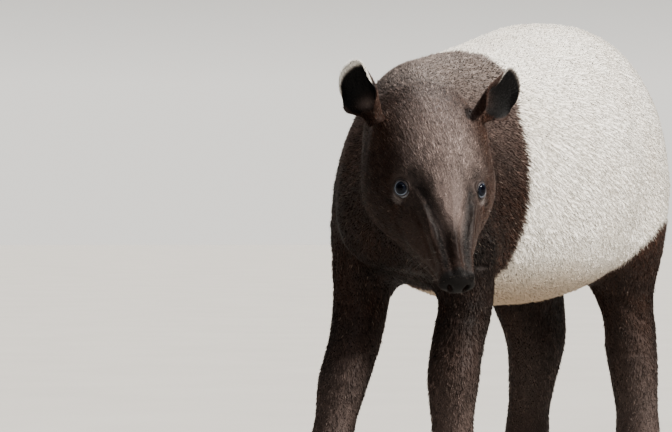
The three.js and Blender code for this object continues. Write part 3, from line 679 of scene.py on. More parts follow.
def sculptHead(points, normals):
    q = onHead(points) * 1000
    side = q * (1, 0, 1) + np.abs(q) * (0, 1, 0)
    lift = np.zeros(len(points))
    near = (q[:, 0] > 120) & (np.abs(q[:, 1]) < 120)
    for reach, rise, line in headForms.values():
        away, share = alongLine(side[near], line)
        fade = np.sin(np.pi * (0.12 + 0.76 * share))
        lift[near] += rise * fade * hill(away, 0, reach)
    slit = q[:, 2] - mouth["level"] + mouth["slope"] * (q[:, 0] - mouth["corner"])
    ends = ease(q[:, 0], mouth["corner"] - 6, mouth["corner"] + 4)
    ends = ends * ease(q[:, 0], mouth["front"], mouth["front"] - 5)
    lift += mouth["lift"] * hill(slit, 0, mouth["reach"]) * ends
    rings = np.sin(q[:, 0] * trunkRings["wave"] + trunkRings["wander"] * waves(points, 60.0, 3))
    rings = rings * ease(q[:, 0], 262, 310) * ease(q[:, 0], 352, 338)
    lift += trunkRings["lift"] * rings * (q[:, 2] > trunkRings["above"])
    return points + normals * (lift / 1000)[:, None]


# Folds and swellings: reach and lift, then the line, in millimetres on the body's axes
bodyForms = {
    "shoulder fold": (9, -4.5, [(135, 69, 563), (140, 67, 513), (140, 63, 464), (140, 40, 423)]),
    "neck fold": (10, -3, [(118, 8, 600), (128, 2, 540), (128, -12, 480)]),
    "elbow bulge": (27, 7, [(142, 22, 400), (142, 40, 402)]),
    "crease under the bulge": (6, -6, [(131, -22, 384), (136, -2, 374), (143, 30, 371)]),
    "crease over the bulge": (7, -5, [(140, -18, 424), (140, 30, 430), (137, 78, 418)]),
    "right crease": (7, -4, [(-132, -10, 392), (-138, 20, 380), (-140, 60, 384)]),
    "fore wrinkle": (4.5, -2.6, [(92, -32, 296), (116, -16, 288), (142, 14, 287)]),
    "fore wrinkle low": (4.0, -2.2, [(74, -40, 242), (110, -26, 246), (142, 8, 252)]),
    "right fore wrinkle low": (4.0, -2.2, [(-112, -40, 268), (-84, -26, 258), (-56, -8, 246)]),
    "right fore wrinkle": (4.0, -2.0, [(-128, -24, 300), (-100, -34, 296), (-66, -22, 290)]),
    "hind wrinkle": (5.0, -2.8, [(104, 636, 302), (128, 690, 267), (132, 756, 242)]),
    "hind wrinkle low": (4.0, -2.2, [(88, 662, 212), (112, 672, 206), (138, 700, 203)]),
    "hock fold": (5.0, -2.0, [(96, 652, 268), (130, 700, 234), (128, 752, 214)]),
    "right hind wrinkle low": (5.0, -2.6, [(-52, 742, 242), (-60, 712, 214), (-70, 684, 184)]),
    "right hind wrinkle": (5.0, -2.4, [(-104, 640, 300), (-130, 690, 268), (-132, 752, 244)]),
}


def sculptBody(points, normals):
    b = (points - bodyStart) * 1000
    lift = np.zeros(len(points))
    for reach, rise, line in bodyForms.values():
        line = np.array(line, float)
        margin = 2.5 * reach
        near = np.all((b > line.min(axis=0) - margin) & (b < line.max(axis=0) + margin), axis=1)
        wander = 0.4 * reach * waves(points[near], 55.0, reach)
        away, share = alongLine(b[near] + wander[:, None] * (0, 0, 1), line)
        lift[near] += rise * np.sin(np.pi * (0.1 + 0.8 * share)) * hill(away, 0, reach)
    return points + normals * (lift / 1000)[:, None]


eye = {
    "radius": 0.0155, "deeper": 0.0022,
    "halfLength": 0.0128, "halfHeight": 0.0114,     # the opening between the lids,
    "opening": 0.0112,                              # and its size as one measure, for distances from it
    "skinOver": 0.0014,                             # how thick the lids are over the ball
    "inwards": 0.08, "upwards": 0.10,               # how far the gaze turns from the middle of the opening
    "look": {"left": (0.55, 0.68, 0.48), "right": (0.46, -0.73, 0.51)},     # these two on the head's axes
    "shift": {"left": (0.0008, -0.0012, 0.0), "right": (-0.0026, -0.0022, 0.0)},
}


def eyeAxes(side):
    look = unit(np.array(eye["look"][side]) @ headAxes)
    across = unit(np.cross(headUp, look))
    return look, across, np.cross(look, across)


def onEye(side, points):
    # Across and up from the middle of an eye, and whether a point is on the skin round its front
    look, across, up = eyeAxes(side)
    d = points - eyeMiddle[side]
    return d @ across, d @ up, (np.linalg.norm(d, axis=1) < 0.05) & (d @ look > 0)


for side in ("left", "right"):
    shift = np.array(eye["shift"][side]) @ headAxes
    eyeMiddle[side] = eyeMiddle[side] + shift - eyeAxes(side)[0] * eye["deeper"]


def sculptEyes(points):
    # Lays the skin over each eyeball as lids, opens them, and adds the fold above and the pouch below
    p = points.copy()
    for side, middle in eyeMiddle.items():
        look, across, up = eyeAxes(side)
        d = p - middle
        r = np.linalg.norm(d, axis=1)
        close = (r < 0.045) & (d @ look > -0.004)
        s, t = d @ across, d @ up
        oval = np.hypot(s / eye["halfLength"], t / eye["halfHeight"])
        edge = (oval - 1) * min(eye["halfLength"], eye["halfHeight"])
        lid = eye["radius"] + eye["skinOver"] + 0.0016 * ease(edge, 0.0, 0.006)
        lid += 0.0014 * hill(edge, 0.0065, 0.0022) * (t > 0)
        lid -= 0.0018 * hill(edge, 0.0036, 0.0013) * ease(t, 0.0, 0.004)
        lid += 0.0012 * hill(edge, 0.0075, 0.003) * (t < 0)
        lid -= 0.0012 * hill(edge, 0.0115, 0.002) * ease(t, 0.0, -0.004)
        soft = 0.005       # how gently the lids run out into the skin round them
        h = np.clip(0.5 + 0.5 * (r - lid) / soft, 0, 1)
        fade = ease(edge, 0.016, 0.007)
        over = lid + (r - lid) * h + soft * h * (1 - h) * 0.5
        wanted = r + (np.maximum(over, r) - r) * ease(edge, 0.028, 0.012)
        wanted = wanted * (1 - fade) + lid * fade
        wanted = np.where(edge < 0, eye["radius"] - 0.003, wanted)
        p[close] = (middle + d * (wanted / r)[:, None])[close]
    return p


nostril = {"apart": 12.0, "below": 37, "lean": 0.3, "halfWidth": 3.6, "halfHeight": 6.8, "deep": 10}


def sculptNostrils(points):
    # Two comma-shaped openings on the flat tip of the trunk, in millimetres
    q = (points - headBack) @ headAxes.T * 1000
    u = q[:, 1] - noseShift(head["length"]) * 1000
    up = q[:, 2] + nostril["below"]
    pull = np.zeros(len(points))
    for side in (1, -1):
        a = (side * u - nostril["apart"] - nostril["lean"] * up) / nostril["halfWidth"]
        b = up / nostril["halfHeight"]
        pull += np.exp(-(a * a + b * b) ** 1.5) * ease(q[:, 0], 334, 344)
    return points - headAlong * (nostril["deep"] / 1000 * pull)[:, None]


def finishSkin():
    points, normals = pointsOf(body), normalsOf(body)
    q = onHead(points)
    onFace = faceShare(q, 0.0, 0.12)
    low = ease(points[:, 2], 0.14, 0.05)
    depth = skin["coatDepth"]["body"] * (1 - onFace) * (1 - low) + skin["coatDepth"]["head"] * onFace
    depth += skin["coatDepth"]["foot"] * low
    depth = np.where(nearEars(points)[3] > 0, skin["coatDepth"]["ear"], depth)
    points = points - normals * depth[:, None]
    straighter = noseShift(q[:, 0]) - head["frameBend"] * ease(q[:, 0], 0.190, head["length"])
    points += headLeft * (straighter * onFace)[:, None]
    setPoints(body, points)
    points = sculptHead(points, normalsOf(body))
    points = sculptBody(points, normals)
    points = sculptEyes(points)
    points = sculptNostrils(points)
    flat = (points[:, 2] < skin["flatBelow"]) & (normals[:, 2] < -0.6)
    points[flat, 2] = 0.0
    points[:, 2] = np.maximum(points[:, 2], 0.0)
    setPoints(body, points)
    only(body)
    bpy.ops.object.shade_smooth()


finishSkin()
print("skin sculpted")


# Markings and painted light and shade, the same on the skin and on every tuft

markings = {
    "saddleFront": 0.150,        # behind the shoulder, along the body,
    "saddleFrontTop": 0.190,     # and on the back
    # The edge over the thigh: along the body, and how high
    "thigh": [(0.50, 0.300), (0.54, 0.322), (0.575, 0.355), (0.61, 0.395), (0.66, 0.432), (0.73, 0.448),
              (0.87, 0.462)],
    "soft": 0.006,
}


def marksAndPaintedLightAt(points):
    # How much of each colour: white, warm, grey, then cream, bluish, black
    b = points - bodyStart
    q = onHead(points)
    x, y, z = b.T
    ragged = 0.0035 * waves(points, 170.0, 5) + 0.004 * waves(points, 45.0, 1)
    lean = markings["saddleFrontTop"] - markings["saddleFront"]
    front = markings["saddleFront"] + lean * ease(z, 0.60, 0.735)
    line = np.array(markings["thigh"])
    thigh = np.interp(y, line[:, 0], line[:, 1], left=0.0)
    soft = markings["soft"]
    fromFront = y - front + ragged
    fromThigh = z - thigh + ragged
    tail = (y > 0.80) & (np.abs(x) < 0.035) & (z > 0.52)
    white = ease(fromFront, -soft, soft) * np.maximum(ease(fromThigh, -soft, soft), tail)
    white *= (z > 0.26) & (q[:, 0] < 0.02)
    edge = np.minimum(np.abs(fromFront), np.where(y > 0.5, np.abs(fromThigh), 1))
    warm = 0.75 * np.exp(-edge / 0.03) + 0.3 * hill(z, 0.42, 0.12) * (y > 0.5)
    onFace = faceShare(q, -0.03, 0.09)
    mirrored = q * (1000, 0, 1000) + np.abs(q) * (0, 1000, 0)
    crown = ease(np.abs(q[:, 1]), 0.080, 0.030) * ease(q[:, 2], -0.01, 0.05)
    crown *= 0.55 + 0.45 * ease(q[:, 0], 0.06, 0.17)
    bridge = ease(np.abs(q[:, 1]), 0.040, 0.012) * ease(q[:, 2], -0.03, 0.01)
    grey = onFace * np.maximum(crown * ease(q[:, 0], 0.27, 0.17), bridge * ease(q[:, 0], 0.315, 0.262))
    away = alongLine(mirrored, noseWall)[0]
    grey = np.maximum(grey, 0.30 * onFace * hill(away, 0, 1.8))      # painted highlight along the lit crest of the wall of the nose
    # Painted highlight: the coat on the top of the neck made greyer, warmer and paler, standing for sun on
    # its hair
    top = (1 - onFace) * ease(z, 0.46, 0.70)
    grey = np.maximum(grey, 0.55 * top)
    # Painted highlight: the lower legs greyer, standing for sun-lit sheen on their hair
    grey = np.maximum(grey, 0.42 * ease(z, 0.32, 0.10) * (1 - onFace))
    warm = np.where(onFace > 0.5, 0.30 * (1 - crown), np.maximum(warm, 0.35 * top))
    white = np.maximum(white, 0.07 * (1 - onFace) * ease(z, 0.60, 0.72))     # painted highlight: the top of the neck paler where the sun falls
    # The belly duller and darker towards the bottom: partly its own cream tone, partly painted shade under
    # the body
    cream = ease(z, 0.40, 0.30)
    bluish = np.zeros(len(points))
    black = 0.96 * ease(q[:, 0] + 0.25 * (q[:, 2] + 0.03), 0.340, 0.350) * onFace
    # Painted shade: black along the trough of the nose, where shadow falls
    away, share = alongLine(mirrored, noseTrough)
    wide = 3.2 + 4.5 * hill(share, 0.36, 0.16)
    black = np.maximum(black, 0.9 * onFace * hill(away, 0, wide) * ease(share, 1.0, 0.75))
    # Painted shade: the side of the nose between the trough and the wall darkened, where the bridge casts
    # shade
    away = alongLine(mirrored, noseSide)[0]
    black = np.maximum(black, 0.88 * onFace * hill(away, 0, 8.5))
    black = np.maximum(black, 0.50 * onFace * bridge * ease(q[:, 0], 0.276, 0.306))
    # Painted shade: black in the hollow at the inner corner of each eye
    away = alongLine(mirrored, [(202, 51, 56), (216, 44, 51), (230, 38, 46)])[0]
    black = np.maximum(black, 0.92 * onFace * hill(away, 0, 11) * (q[:, 0] > 0.16))
    for side in eyeMiddle:
        s, t, near = onEye(side, points)
        edge = np.hypot(s / eye["halfLength"], t / eye["halfHeight"]) * eye["opening"] - eye["opening"]
        black = np.where(near, np.maximum(black, ease(edge, 0.0042, 0.0012)), black)
        inwards = s * (1 if side == "right" else -1)      # towards the nose
        pouch = np.hypot((inwards - 0.001) / 0.0115, (t + 0.0185) / 0.0070)
        bluish = np.where(near, np.maximum(bluish, 0.85 * np.exp(-pouch ** 4)), bluish)
        # Painted shade: black in the crease under the pouch below each eye
        crease = np.hypot((inwards + 0.007) / 0.009, (t + 0.0300) / 0.0045)
        black = np.where(near, np.maximum(black, 0.7 * hill(crease, 0, 1)), black)
        flush = np.hypot((inwards - 0.006) / 0.007, (t + 0.0300) / 0.006)
        warm = np.where(near, np.maximum(warm, 1.1 * hill(flush, 0, 1)), warm)
    up, round_, out, which = nearEars(points)
    inside = (which > 0) * ease(out, 0.0008, -0.0008) * ease(up, 0.12, 0.3)
    tuft = 0.8 * inside * hill(up, 0.34, 0.12) * hill(round_, 0.25, 0.5)
    black = np.maximum(black, inside * (1 - tuft))
    grey = np.maximum(grey, tuft)
    fringe = np.maximum(ease(up, 0.88, 0.95), ease(np.abs(round_), 0.84, 0.97) * ease(up, 0.80, 0.92))
    fringe *= np.where(which == 1, 0.40 * ease(up, 0.93, 0.98), 1) * (which > 0)
    white = np.maximum(white, fringe)
    black *= 1 - fringe
    return np.column_stack([white, warm, grey, np.ones(len(points))]), \
        np.column_stack([cream, bluish, black, np.ones(len(points))])


def markPiece(piece, points):
    first, second = marksAndPaintedLightAt(points)
    setAttribute(piece, "marks", first)
    setAttribute(piece, "marksToo", second)


markPiece(body, pointsOf(body))
body.data.materials.clear()
body.data.materials.append(finishes["skin"])
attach(body, "root")
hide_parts(*fleshNodes, "ear_left", "ear_right")
print("skin marked")


# Eyes

def makeEye(side):
    look, across, up = eyeAxes(side)
    ball = added(bpy.ops.mesh.primitive_uv_sphere_add, "eyeBall_" + side, segments=48, ring_count=28,
                 radius=eye["radius"])
    p = pointsOf(ball)
    inwards = 1 if side == "right" else -1
    gaze = unit((inwards * eye["inwards"], eye["upwards"], 1))
    turn = np.degrees(np.arccos(np.clip(p @ gaze / eye["radius"], -1, 1)))
    p *= (1 + 0.045 * ease(turn, 44, 20))[:, None]     # the cornea stands a little proud
    setPoints(ball, p @ np.array([across, up, look]) + eyeMiddle[side])
    setAttribute(ball, "turn", turn, "FLOAT")
    smoothed(ball, "eye")
    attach(ball, "root")
    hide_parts("eye_" + side)


lidRim = {"thick": 0.0012, "thickerAbove": 0.0007, "round": 0.2}


def makeLidRim(side):
    # A torus drawn out to the opening of the lids
    look, across, up = eyeAxes(side)
    rim = added(bpy.ops.mesh.primitive_torus_add, "lidRim_" + side, major_segments=64, minor_segments=12,
                major_radius=1, minor_radius=lidRim["round"])
    p = pointsOf(rim)
    turn = np.arctan2(p[:, 1], p[:, 0])
    ring = np.hypot(p[:, 0], p[:, 1]) - 1
    s, t = eye["halfLength"] * np.cos(turn), eye["halfHeight"] * np.sin(turn)
    thick = (lidRim["thick"] + lidRim["thickerAbove"] * ease(np.sin(turn), 0.0, 0.7)) / lidRim["round"]
    centre = np.column_stack([s, t, np.sqrt(np.maximum((eye["radius"] + 0.0004) ** 2 - s * s - t * t, 0))])
    outward = unitRows(centre)
    sideways = np.column_stack([np.cos(turn), np.sin(turn), np.zeros(len(p))])
    sideways = unitRows(sideways - outward * dots(sideways, outward)[:, None])
    local = centre + sideways * (ring * thick)[:, None] + outward * (p[:, 2] * thick)[:, None]
    setPoints(rim, local @ np.array([across, up, look]) + eyeMiddle[side])
    smoothed(rim, "lid")
    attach(rim, "root")


for side in ("left", "right"):
    makeEye(side)
    makeLidRim(side)
print("eyes set")


# Hooves

horn = {"voxel": 0.0011, "rounds": 14, "flatBelow": 0.0014}


def makeHoof(node):
    hoof = copyNode(node, "horn_" + node.replace("hoof_", ""))
    applied(hoof, "REMESH", mode="VOXEL", voxel_size=horn["voxel"])
    p = evened(pointsOf(hoof), edgesOf(hoof), horn["rounds"])
    p[p[:, 2] < horn["flatBelow"], 2] = 0.0
    setPoints(hoof, p)
    smoothed(hoof, "horn")
    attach(hoof, "root")
    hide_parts(node)


hoofNodes = [node for node in frame["nodes"] if node.startswith("hoof_")]
for node in hoofNodes:
    makeHoof(node)
print("hooves shod,", len(hoofNodes))


# Coat: flat pointed tufts that follow the lie of the hair, each one closed

coat = {
    "perSquareCm": {"body": 12.5, "neck": 21, "head": 52, "muzzle": 90, "leg": 15, "ear": 55},
    "length": {"body": 0.0110, "neck": 0.0095, "head": 0.0056, "muzzle": 0.0028, "leg": 0.0080,
               "foot": 0.0040, "ear": 0.0038},
    "slim": 0.122,               # width as a share of the length
    "lift": 12,                  # degrees off the skin
    "inClump": 6,                # tufts that share a clump, and lean to its middle by this much
    "lean": 0.55,
    "lengthVaries": 0.18, "widthVaries": (0.75, 1.3), "liftVaries": (0.5, 1.5), "clumpLift": (0.6, 1.5),
    "clumpShade": 0.30, "ownShade": 0.12,       # how uneven the shade is, by clump and by tuft
    "longer": {"fringe": 0.6, "belly": 0.5, "tailEnd": 0.6},
    "flecked": {"body": 0.03, "head": 0.06},    # share of pale tufts, and what the head adds to it
    "sunk": 0.00035,             # the foot of a tuft under the skin
    "noneBelow": 0.0012,         # the soles stay bare
    "patch": 0.0015,             # half of a tuft's patch on the unwrap
}


def mixedLie(a, b, share):
    return a * (1 - share[:, None]) + b * share[:, None]


def legShare(b):
    # How much of a point belongs to a leg, 0 to 1
    near = np.zeros(len(b))
    for leg, (x, y) in footPlaces.items():
        away = np.hypot(b[:, 0] - x, b[:, 1] - (y if "hind" in leg else y - 0.02))
        near = np.maximum(near, ease(away, 0.17, 0.11))
    return near * ease(b[:, 2], 0.44, 0.34)


def lieOfCoat(points, normals):
    # Which way the hair lies at each point, along the skin
    b = points - bodyStart
    q = onHead(points)
    y, z = b[:, 1], b[:, 2]
    flat = np.zeros(len(b))
    lie = np.column_stack([flat, flat + 1, -0.55 * ease(z, 0.75, 0.45)])
    lie = mixedLie(lie, np.column_stack([b[:, 0] * 2, flat + 0.25, flat - 1]), ease(y, 0.72, 0.88))
    toWithers = unit(bodyStart + (0, 0.05, 0.60) - headBack)
    neck = toWithers - np.array([0, 0, 1]) * 0.35 * ease(z, 0.70, 0.50)[:, None]
    lie = mixedLie(lie, neck, ease(y, 0.06, -0.10))
    lie = mixedLie(lie, np.array([0.0, 0.12, -1.0]) + 0 * b, legShare(b))
    out = unitRows(np.column_stack([flat, q[:, 1], q[:, 2] - 0.02]))
    face = np.column_stack([flat - 1, flat, flat]) + out * (0.30 + 0.35 * ease(q[:, 0], 0.22, 0.05))[:, None]
    lie = mixedLie(lie, face @ headAxes, faceShare(q, -0.02, 0.07))
    for middle in eyeMiddle.values():
        away = points - middle
        r = np.linalg.norm(away, axis=1)
        lie += away / r[:, None].clip(1e-6) * (0.9 * ease(r, 0.034, 0.016))[:, None]
    up, round_, out, which = nearEars(points)
    for k, side in enumerate(("left", "right")):
        lie = np.where((which == k + 1)[:, None], unit(ears[side]["along"]), lie)
    lie += 0.10 * np.column_stack([waves(points, 22.0, k) for k in (2, 4, 6)])
    lie = unitRows(lie + rng.normal(0, 0.08, lie.shape))
    facing = dots(lie, normals)
    lie -= normals * facing[:, None]
    down = normals * normals[:, 2:] - np.array([0, 0, 1])      # where the hair would run into the skin
    lie += down * (0.9 * facing ** 2 * (facing < 0))[:, None]
    return unitRows(lie)


def regionsOf(points):
    # Shares of head, muzzle, leg, ear and neck at each point
    b, q = points - bodyStart, onHead(points)
    headPart = faceShare(q, -0.02, 0.07)
    muzzle = headPart * ease(q[:, 0], 0.19, 0.27)
    onEar = (nearEars(points)[3] > 0).astype(float)
    return headPart, muzzle, legShare(b) * (1 - headPart), onEar, ease(b[:, 1], 0.12, 0.02)


def blended(values, headPart, muzzle, leg, neckPart):
    v = values["body"] + (values["neck"] - values["body"]) * neckPart
    v = v + (values["leg"] - v) * leg
    v = v + (values["head"] - v) * headPart
    return v + (values["muzzle"] - v) * muzzle


def eyeGap(points):
    # Distance outside the nearest eye's opening
    gap = np.full(len(points), 1.0)
    for side in eyeMiddle:
        s, t, near = onEye(side, points)
        oval = np.hypot(s / eye["halfLength"], t / eye["halfHeight"])
        gap = np.where(near, np.minimum(gap, (oval - 1) * eye["opening"]), gap)
    return gap


def scatterRoots():
    mesh = body.data
    mesh.calc_loop_triangles()
    corners = numbersOf(mesh.loop_triangles, "vertices", 3, np.int32)
    points, normals = pointsOf(body), normalsOf(body)
    a, b, c = points[corners[:, 0]], points[corners[:, 1]], points[corners[:, 2]]
    areas = np.linalg.norm(np.cross(b - a, c - a), axis=1) / 2
    middles = (a + b + c) / 3
    headPart, muzzle, leg, earPart, neckPart = regionsOf(middles)
    density = blended(coat["perSquareCm"], headPart, muzzle, leg, neckPart)
    density = np.where(earPart > 0, coat["perSquareCm"]["ear"], density)
    density *= middles[:, 2] > coat["noneBelow"]
    wanted = density * areas * 1e4
    running = np.cumsum(wanted)
    count = int(running[-1])
    picks = np.searchsorted(running, (np.arange(count) + rng.random(count)) * running[-1] / count)
    picks = picks.clip(0, len(corners) - 1)
    u, v = rng.random((2, count))
    over = u + v > 1
    u[over], v[over] = 1 - u[over], 1 - v[over]
    k = corners[picks]
    w = (1 - u - v)[:, None]
    roots, n = (x[k[:, 0]] * w + x[k[:, 1]] * u[:, None] + x[k[:, 2]] * v[:, None] for x in (points, normals))
    n = unitRows(n)
    q = onHead(roots)
    tipOfNose = (q[:, 0] > 0.351) & (np.abs(q[:, 1]) < 0.05)
    keep = (eyeGap(roots) > 0.0026) & ~tipOfNose
    return roots[keep], n[keep]


def placeOnUnwrap(points):
    # Each root's place on the skin laid open round the body, the head or a leg
    b, q = points - bodyStart, onHead(points)
    round_ = np.arctan2(b[:, 0], b[:, 2] - 0.52) / math.tau + 0.5
    place = np.column_stack([round_, (b[:, 1] + 0.35) / 1.3])
    onFace = faceShare(q, -0.02, 0.07) > 0.5
    face = np.column_stack([np.arctan2(q[:, 1], q[:, 2]) / math.tau + 0.5, q[:, 0] / 0.37])
    place[onFace] = face[onFace]
    for k, (x, y) in enumerate(footPlaces.values()):
        d = b[:, :2] - (x, y)
        near = (np.linalg.norm(d, axis=1) < 0.16) & (legShare(b) > 0.5)
        turn = np.arctan2(d[:, 0], d[:, 1]) / math.tau + 0.5
        place[near] = np.column_stack([(k % 2 + turn) / 2, b[:, 2] / 0.45])[near]
    up, round_, out, which = nearEars(points)
    quarter = 2 * (which - 1) + (out > 0)
    on = which > 0
    place[on] = np.column_stack([(quarter + 0.5 + 0.42 * round_) / 4, up])[on]
    return 0.006 + 0.985 * np.clip(place, 0, 1)


def meshFromArrays(name, points, faces):
    mesh = bpy.data.meshes.new(name)
    mesh.vertices.add(len(points))
    mesh.vertices.foreach_set("co", np.asarray(points, np.float32).ravel())
    mesh.loops.add(faces.size)
    mesh.loops.foreach_set("vertex_index", faces.ravel().astype(np.int32))
    mesh.polygons.add(len(faces))
    mesh.polygons.foreach_set("loop_start", np.arange(0, faces.size, faces.shape[1], dtype=np.int32))
    mesh.polygons.foreach_set("loop_total", np.full(len(faces), faces.shape[1], np.int32))
    mesh.update(calc_edges=True)
    return newPiece(name, mesh)


def gatherClumps(roots, lie, length):
    # For each tuft, how far its tip leans to the middle of its clump, and the number of that clump
    ends = roots + lie * (0.8 * length)[:, None]
    count = len(roots) // coat["inClump"]
    middles = ends[rng.permutation(len(roots))[:count]]
    tree = treeOf(middles)
    stretched = ends + lie * (rng.uniform(-0.5, 0.5, len(roots)) * length)[:, None]
    clump = np.array([tree.find(co)[1] for co in stretched])
    lean = middles[clump] - ends
    lean -= lie * dots(lean, lie)[:, None]
    far = np.linalg.norm(lean, axis=1).clip(1e-6)
    lean *= (coat["lean"] * np.minimum(1, 0.45 * length / far))[:, None]
    return lean, clump, count


def growTufts(name, slot, roots, normals, lie, length, width, lift, lean, shade, fleck):
    # One closed four-cornered tuft at each root
    across = np.cross(lie, normals)
    low = roots - normals * coat["sunk"]
    half = across * (width / 2)[:, None]
    tips = roots + lie * (length * np.cos(lift))[:, None] + normals * (length * np.sin(lift))[:, None] + lean
    under = low - normals * (0.25 * width)[:, None] + lie * (0.3 * length)[:, None]
    points = np.stack([low - half, low + half, under, tips], axis=1)
    points = np.clip(points, np.array(cadBox[0]) + 0.0003, np.array(cadBox[1]) - 0.0003)
    faces = np.array([[0, 1, 3], [1, 2, 3], [2, 0, 3], [0, 2, 1]])
    count = len(roots)
    allFaces = (np.arange(count)[:, None, None] * 4 + faces).reshape(-1, 3)
    piece = meshFromArrays(name, points.reshape(-1, 3), allFaces)
    markPiece(piece, np.repeat(roots, 4, axis=0))
    hair = np.ones((count, 4, 4))
    hair[:, :, 0] = shade[:, None] / 2
    hair[:, :, 1] = (0, 0, 0, 1)       # 1 at the tip
    hair[:, :, 2] = fleck[:, None]
    setAttribute(piece, "hair", hair)
    patch = coat["patch"] * np.array([[-1, -1], [1, -1], [0, -0.4], [0, 1]])
    spots = placeOnUnwrap(roots)[:, None, :] + patch
    layer = piece.data.uv_layers.new(name="OFBake")
    layer.uv.foreach_set("vector", spots.reshape(-1, 2)[allFaces.ravel()].astype(np.float32).ravel())
    piece.data.materials.append(finishes["coat"])
    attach(piece, "root")
    print(name, len(allFaces), "faces")


def growCoat():
    roots, normals = scatterRoots()
    headPart, muzzle, leg, earPart, neckPart = regionsOf(roots)
    b, q = roots - bodyStart, onHead(roots)
    length = blended(coat["length"], headPart, muzzle, leg, neckPart)
    length = np.where(b[:, 2] < 0.16, np.minimum(length, coat["length"]["foot"] + 0.025 * b[:, 2]), length)
    length = np.where(earPart > 0, coat["length"]["ear"], length)
    length *= 0.45 + 0.55 * ease(eyeGap(roots), 0.002, 0.016)
    fringe = (earPart > 0) * marksAndPaintedLightAt(roots)[0][:, 0]
    under = ease(b[:, 2], 0.36, 0.30) * (1 - leg) * (1 - headPart)
    tailEnd = ease(b[:, 1], 0.80, 0.86) * (np.abs(b[:, 0]) < 0.03)
    more = coat["longer"]
    length *= 1 + more["fringe"] * fringe + more["belly"] * under + more["tailEnd"] * tailEnd
    length *= np.exp(rng.normal(0, coat["lengthVaries"], len(roots)))
    width = length * coat["slim"] * rng.uniform(*coat["widthVaries"], len(roots))
    lift = np.radians(coat["lift"] * rng.uniform(*coat["liftVaries"], len(roots)))
    lie = lieOfCoat(roots, normals)
    lean, clump, clumps = gatherClumps(roots, lie, length)
    lean -= normals * dots(lean, normals)[:, None]
    shade = rng.normal(0, coat["clumpShade"], clumps)[clump] + rng.normal(0, coat["ownShade"], len(roots))
    pale = ease(marksAndPaintedLightAt(roots)[0][:, 0], 0.3, 0.8)
    shade += 0.14 * waves(roots, 60.0, 8) + 0.15 * headPart * waves(roots, 700.0, 11)
    shade = np.exp(shade * (1 - 0.80 * pale))
    lift *= rng.uniform(*coat["clumpLift"], clumps)[clump] * (1 - 0.4 * pale)
    often = coat["flecked"]["body"] + coat["flecked"]["head"] * headPart
    fleck = (rng.random(len(roots)) < often) * rng.uniform(0.2, 0.8, len(roots))
    fleck *= earPart == 0
    left = b[:, 0] > 0
    parts = {
        "coatEars": (earPart > 0, "dark_coat"),
        "coatMuzzle": (muzzle > 0.5, "face_coat"),
        "coatFaceLeft": ((headPart > 0.5) & (q[:, 1] > 0), "face_coat"),
        "coatFaceRight": (headPart > 0.5, "face_coat"),
        "coatForelegs": ((leg > 0.5) & (b[:, 1] < 0.35), "dark_coat"),
        "coatHindlegs": (leg > 0.5, "dark_coat"),
        "coatNeckLeft": ((b[:, 1] < 0.12) & left, "dark_coat"),
        "coatNeckRight": (b[:, 1] < 0.12, "dark_coat"),
        "coatBackLeft": ((b[:, 1] < 0.5) & left, "white_coat"),
        "coatBackRight": (b[:, 1] < 0.5, "white_coat"),
        "coatRumpLeft": (left, "white_coat"),
        "coatRumpRight": (~left, "white_coat"),
    }
    tufts = {"roots": roots, "normals": normals, "lie": lie, "length": length, "width": width, "lift": lift,
             "lean": lean, "shade": shade, "fleck": fleck}
    taken = np.zeros(len(roots), bool)
    for name, (chosen, slot) in parts.items():      # each takes what the ones before it left
        k = np.flatnonzero(chosen & ~taken)
        taken |= chosen
        growTufts(name, slot, **{key: values[k] for key, values in tufts.items()})
    print(len(roots), "tufts")


growCoat()


# Whiskers, lashes and bristles: thin curved hairs that taper to a point

whiskers = {"thick": 0.00013, "bends": 6, "lashes": 22, "brows": 5}
# The box each stands in, in millimetres on the head's axes: along, out to a side, up; then how many, how long
whiskerZones = {
    "trunk": ((258, 17, -44), (338, 40, 8), 26, (7, 18)),
    "lip": ((246, 14, -56), (306, 60, -44), 20, (10, 28)),
    "chin": ((222, 0, -90), (304, 40, -60), 18, (6, 14)),
    "cheek": ((170, 55, -62), (232, 90, -14), 8, (10, 20)),
}


def addHair(curve, root, way, length, droop):
    line = curve.splines.new("POLY")
    line.points.add(whiskers["bends"] - 1)
    for i, point in enumerate(line.points):
        f = i / (whiskers["bends"] - 1)
        place = root + way * (length * (f - 0.04)) + np.array([0, 0, -1]) * (droop * length * f * f)
        point.co = (*place, 1)
        point.radius = 1 - 0.88 * f


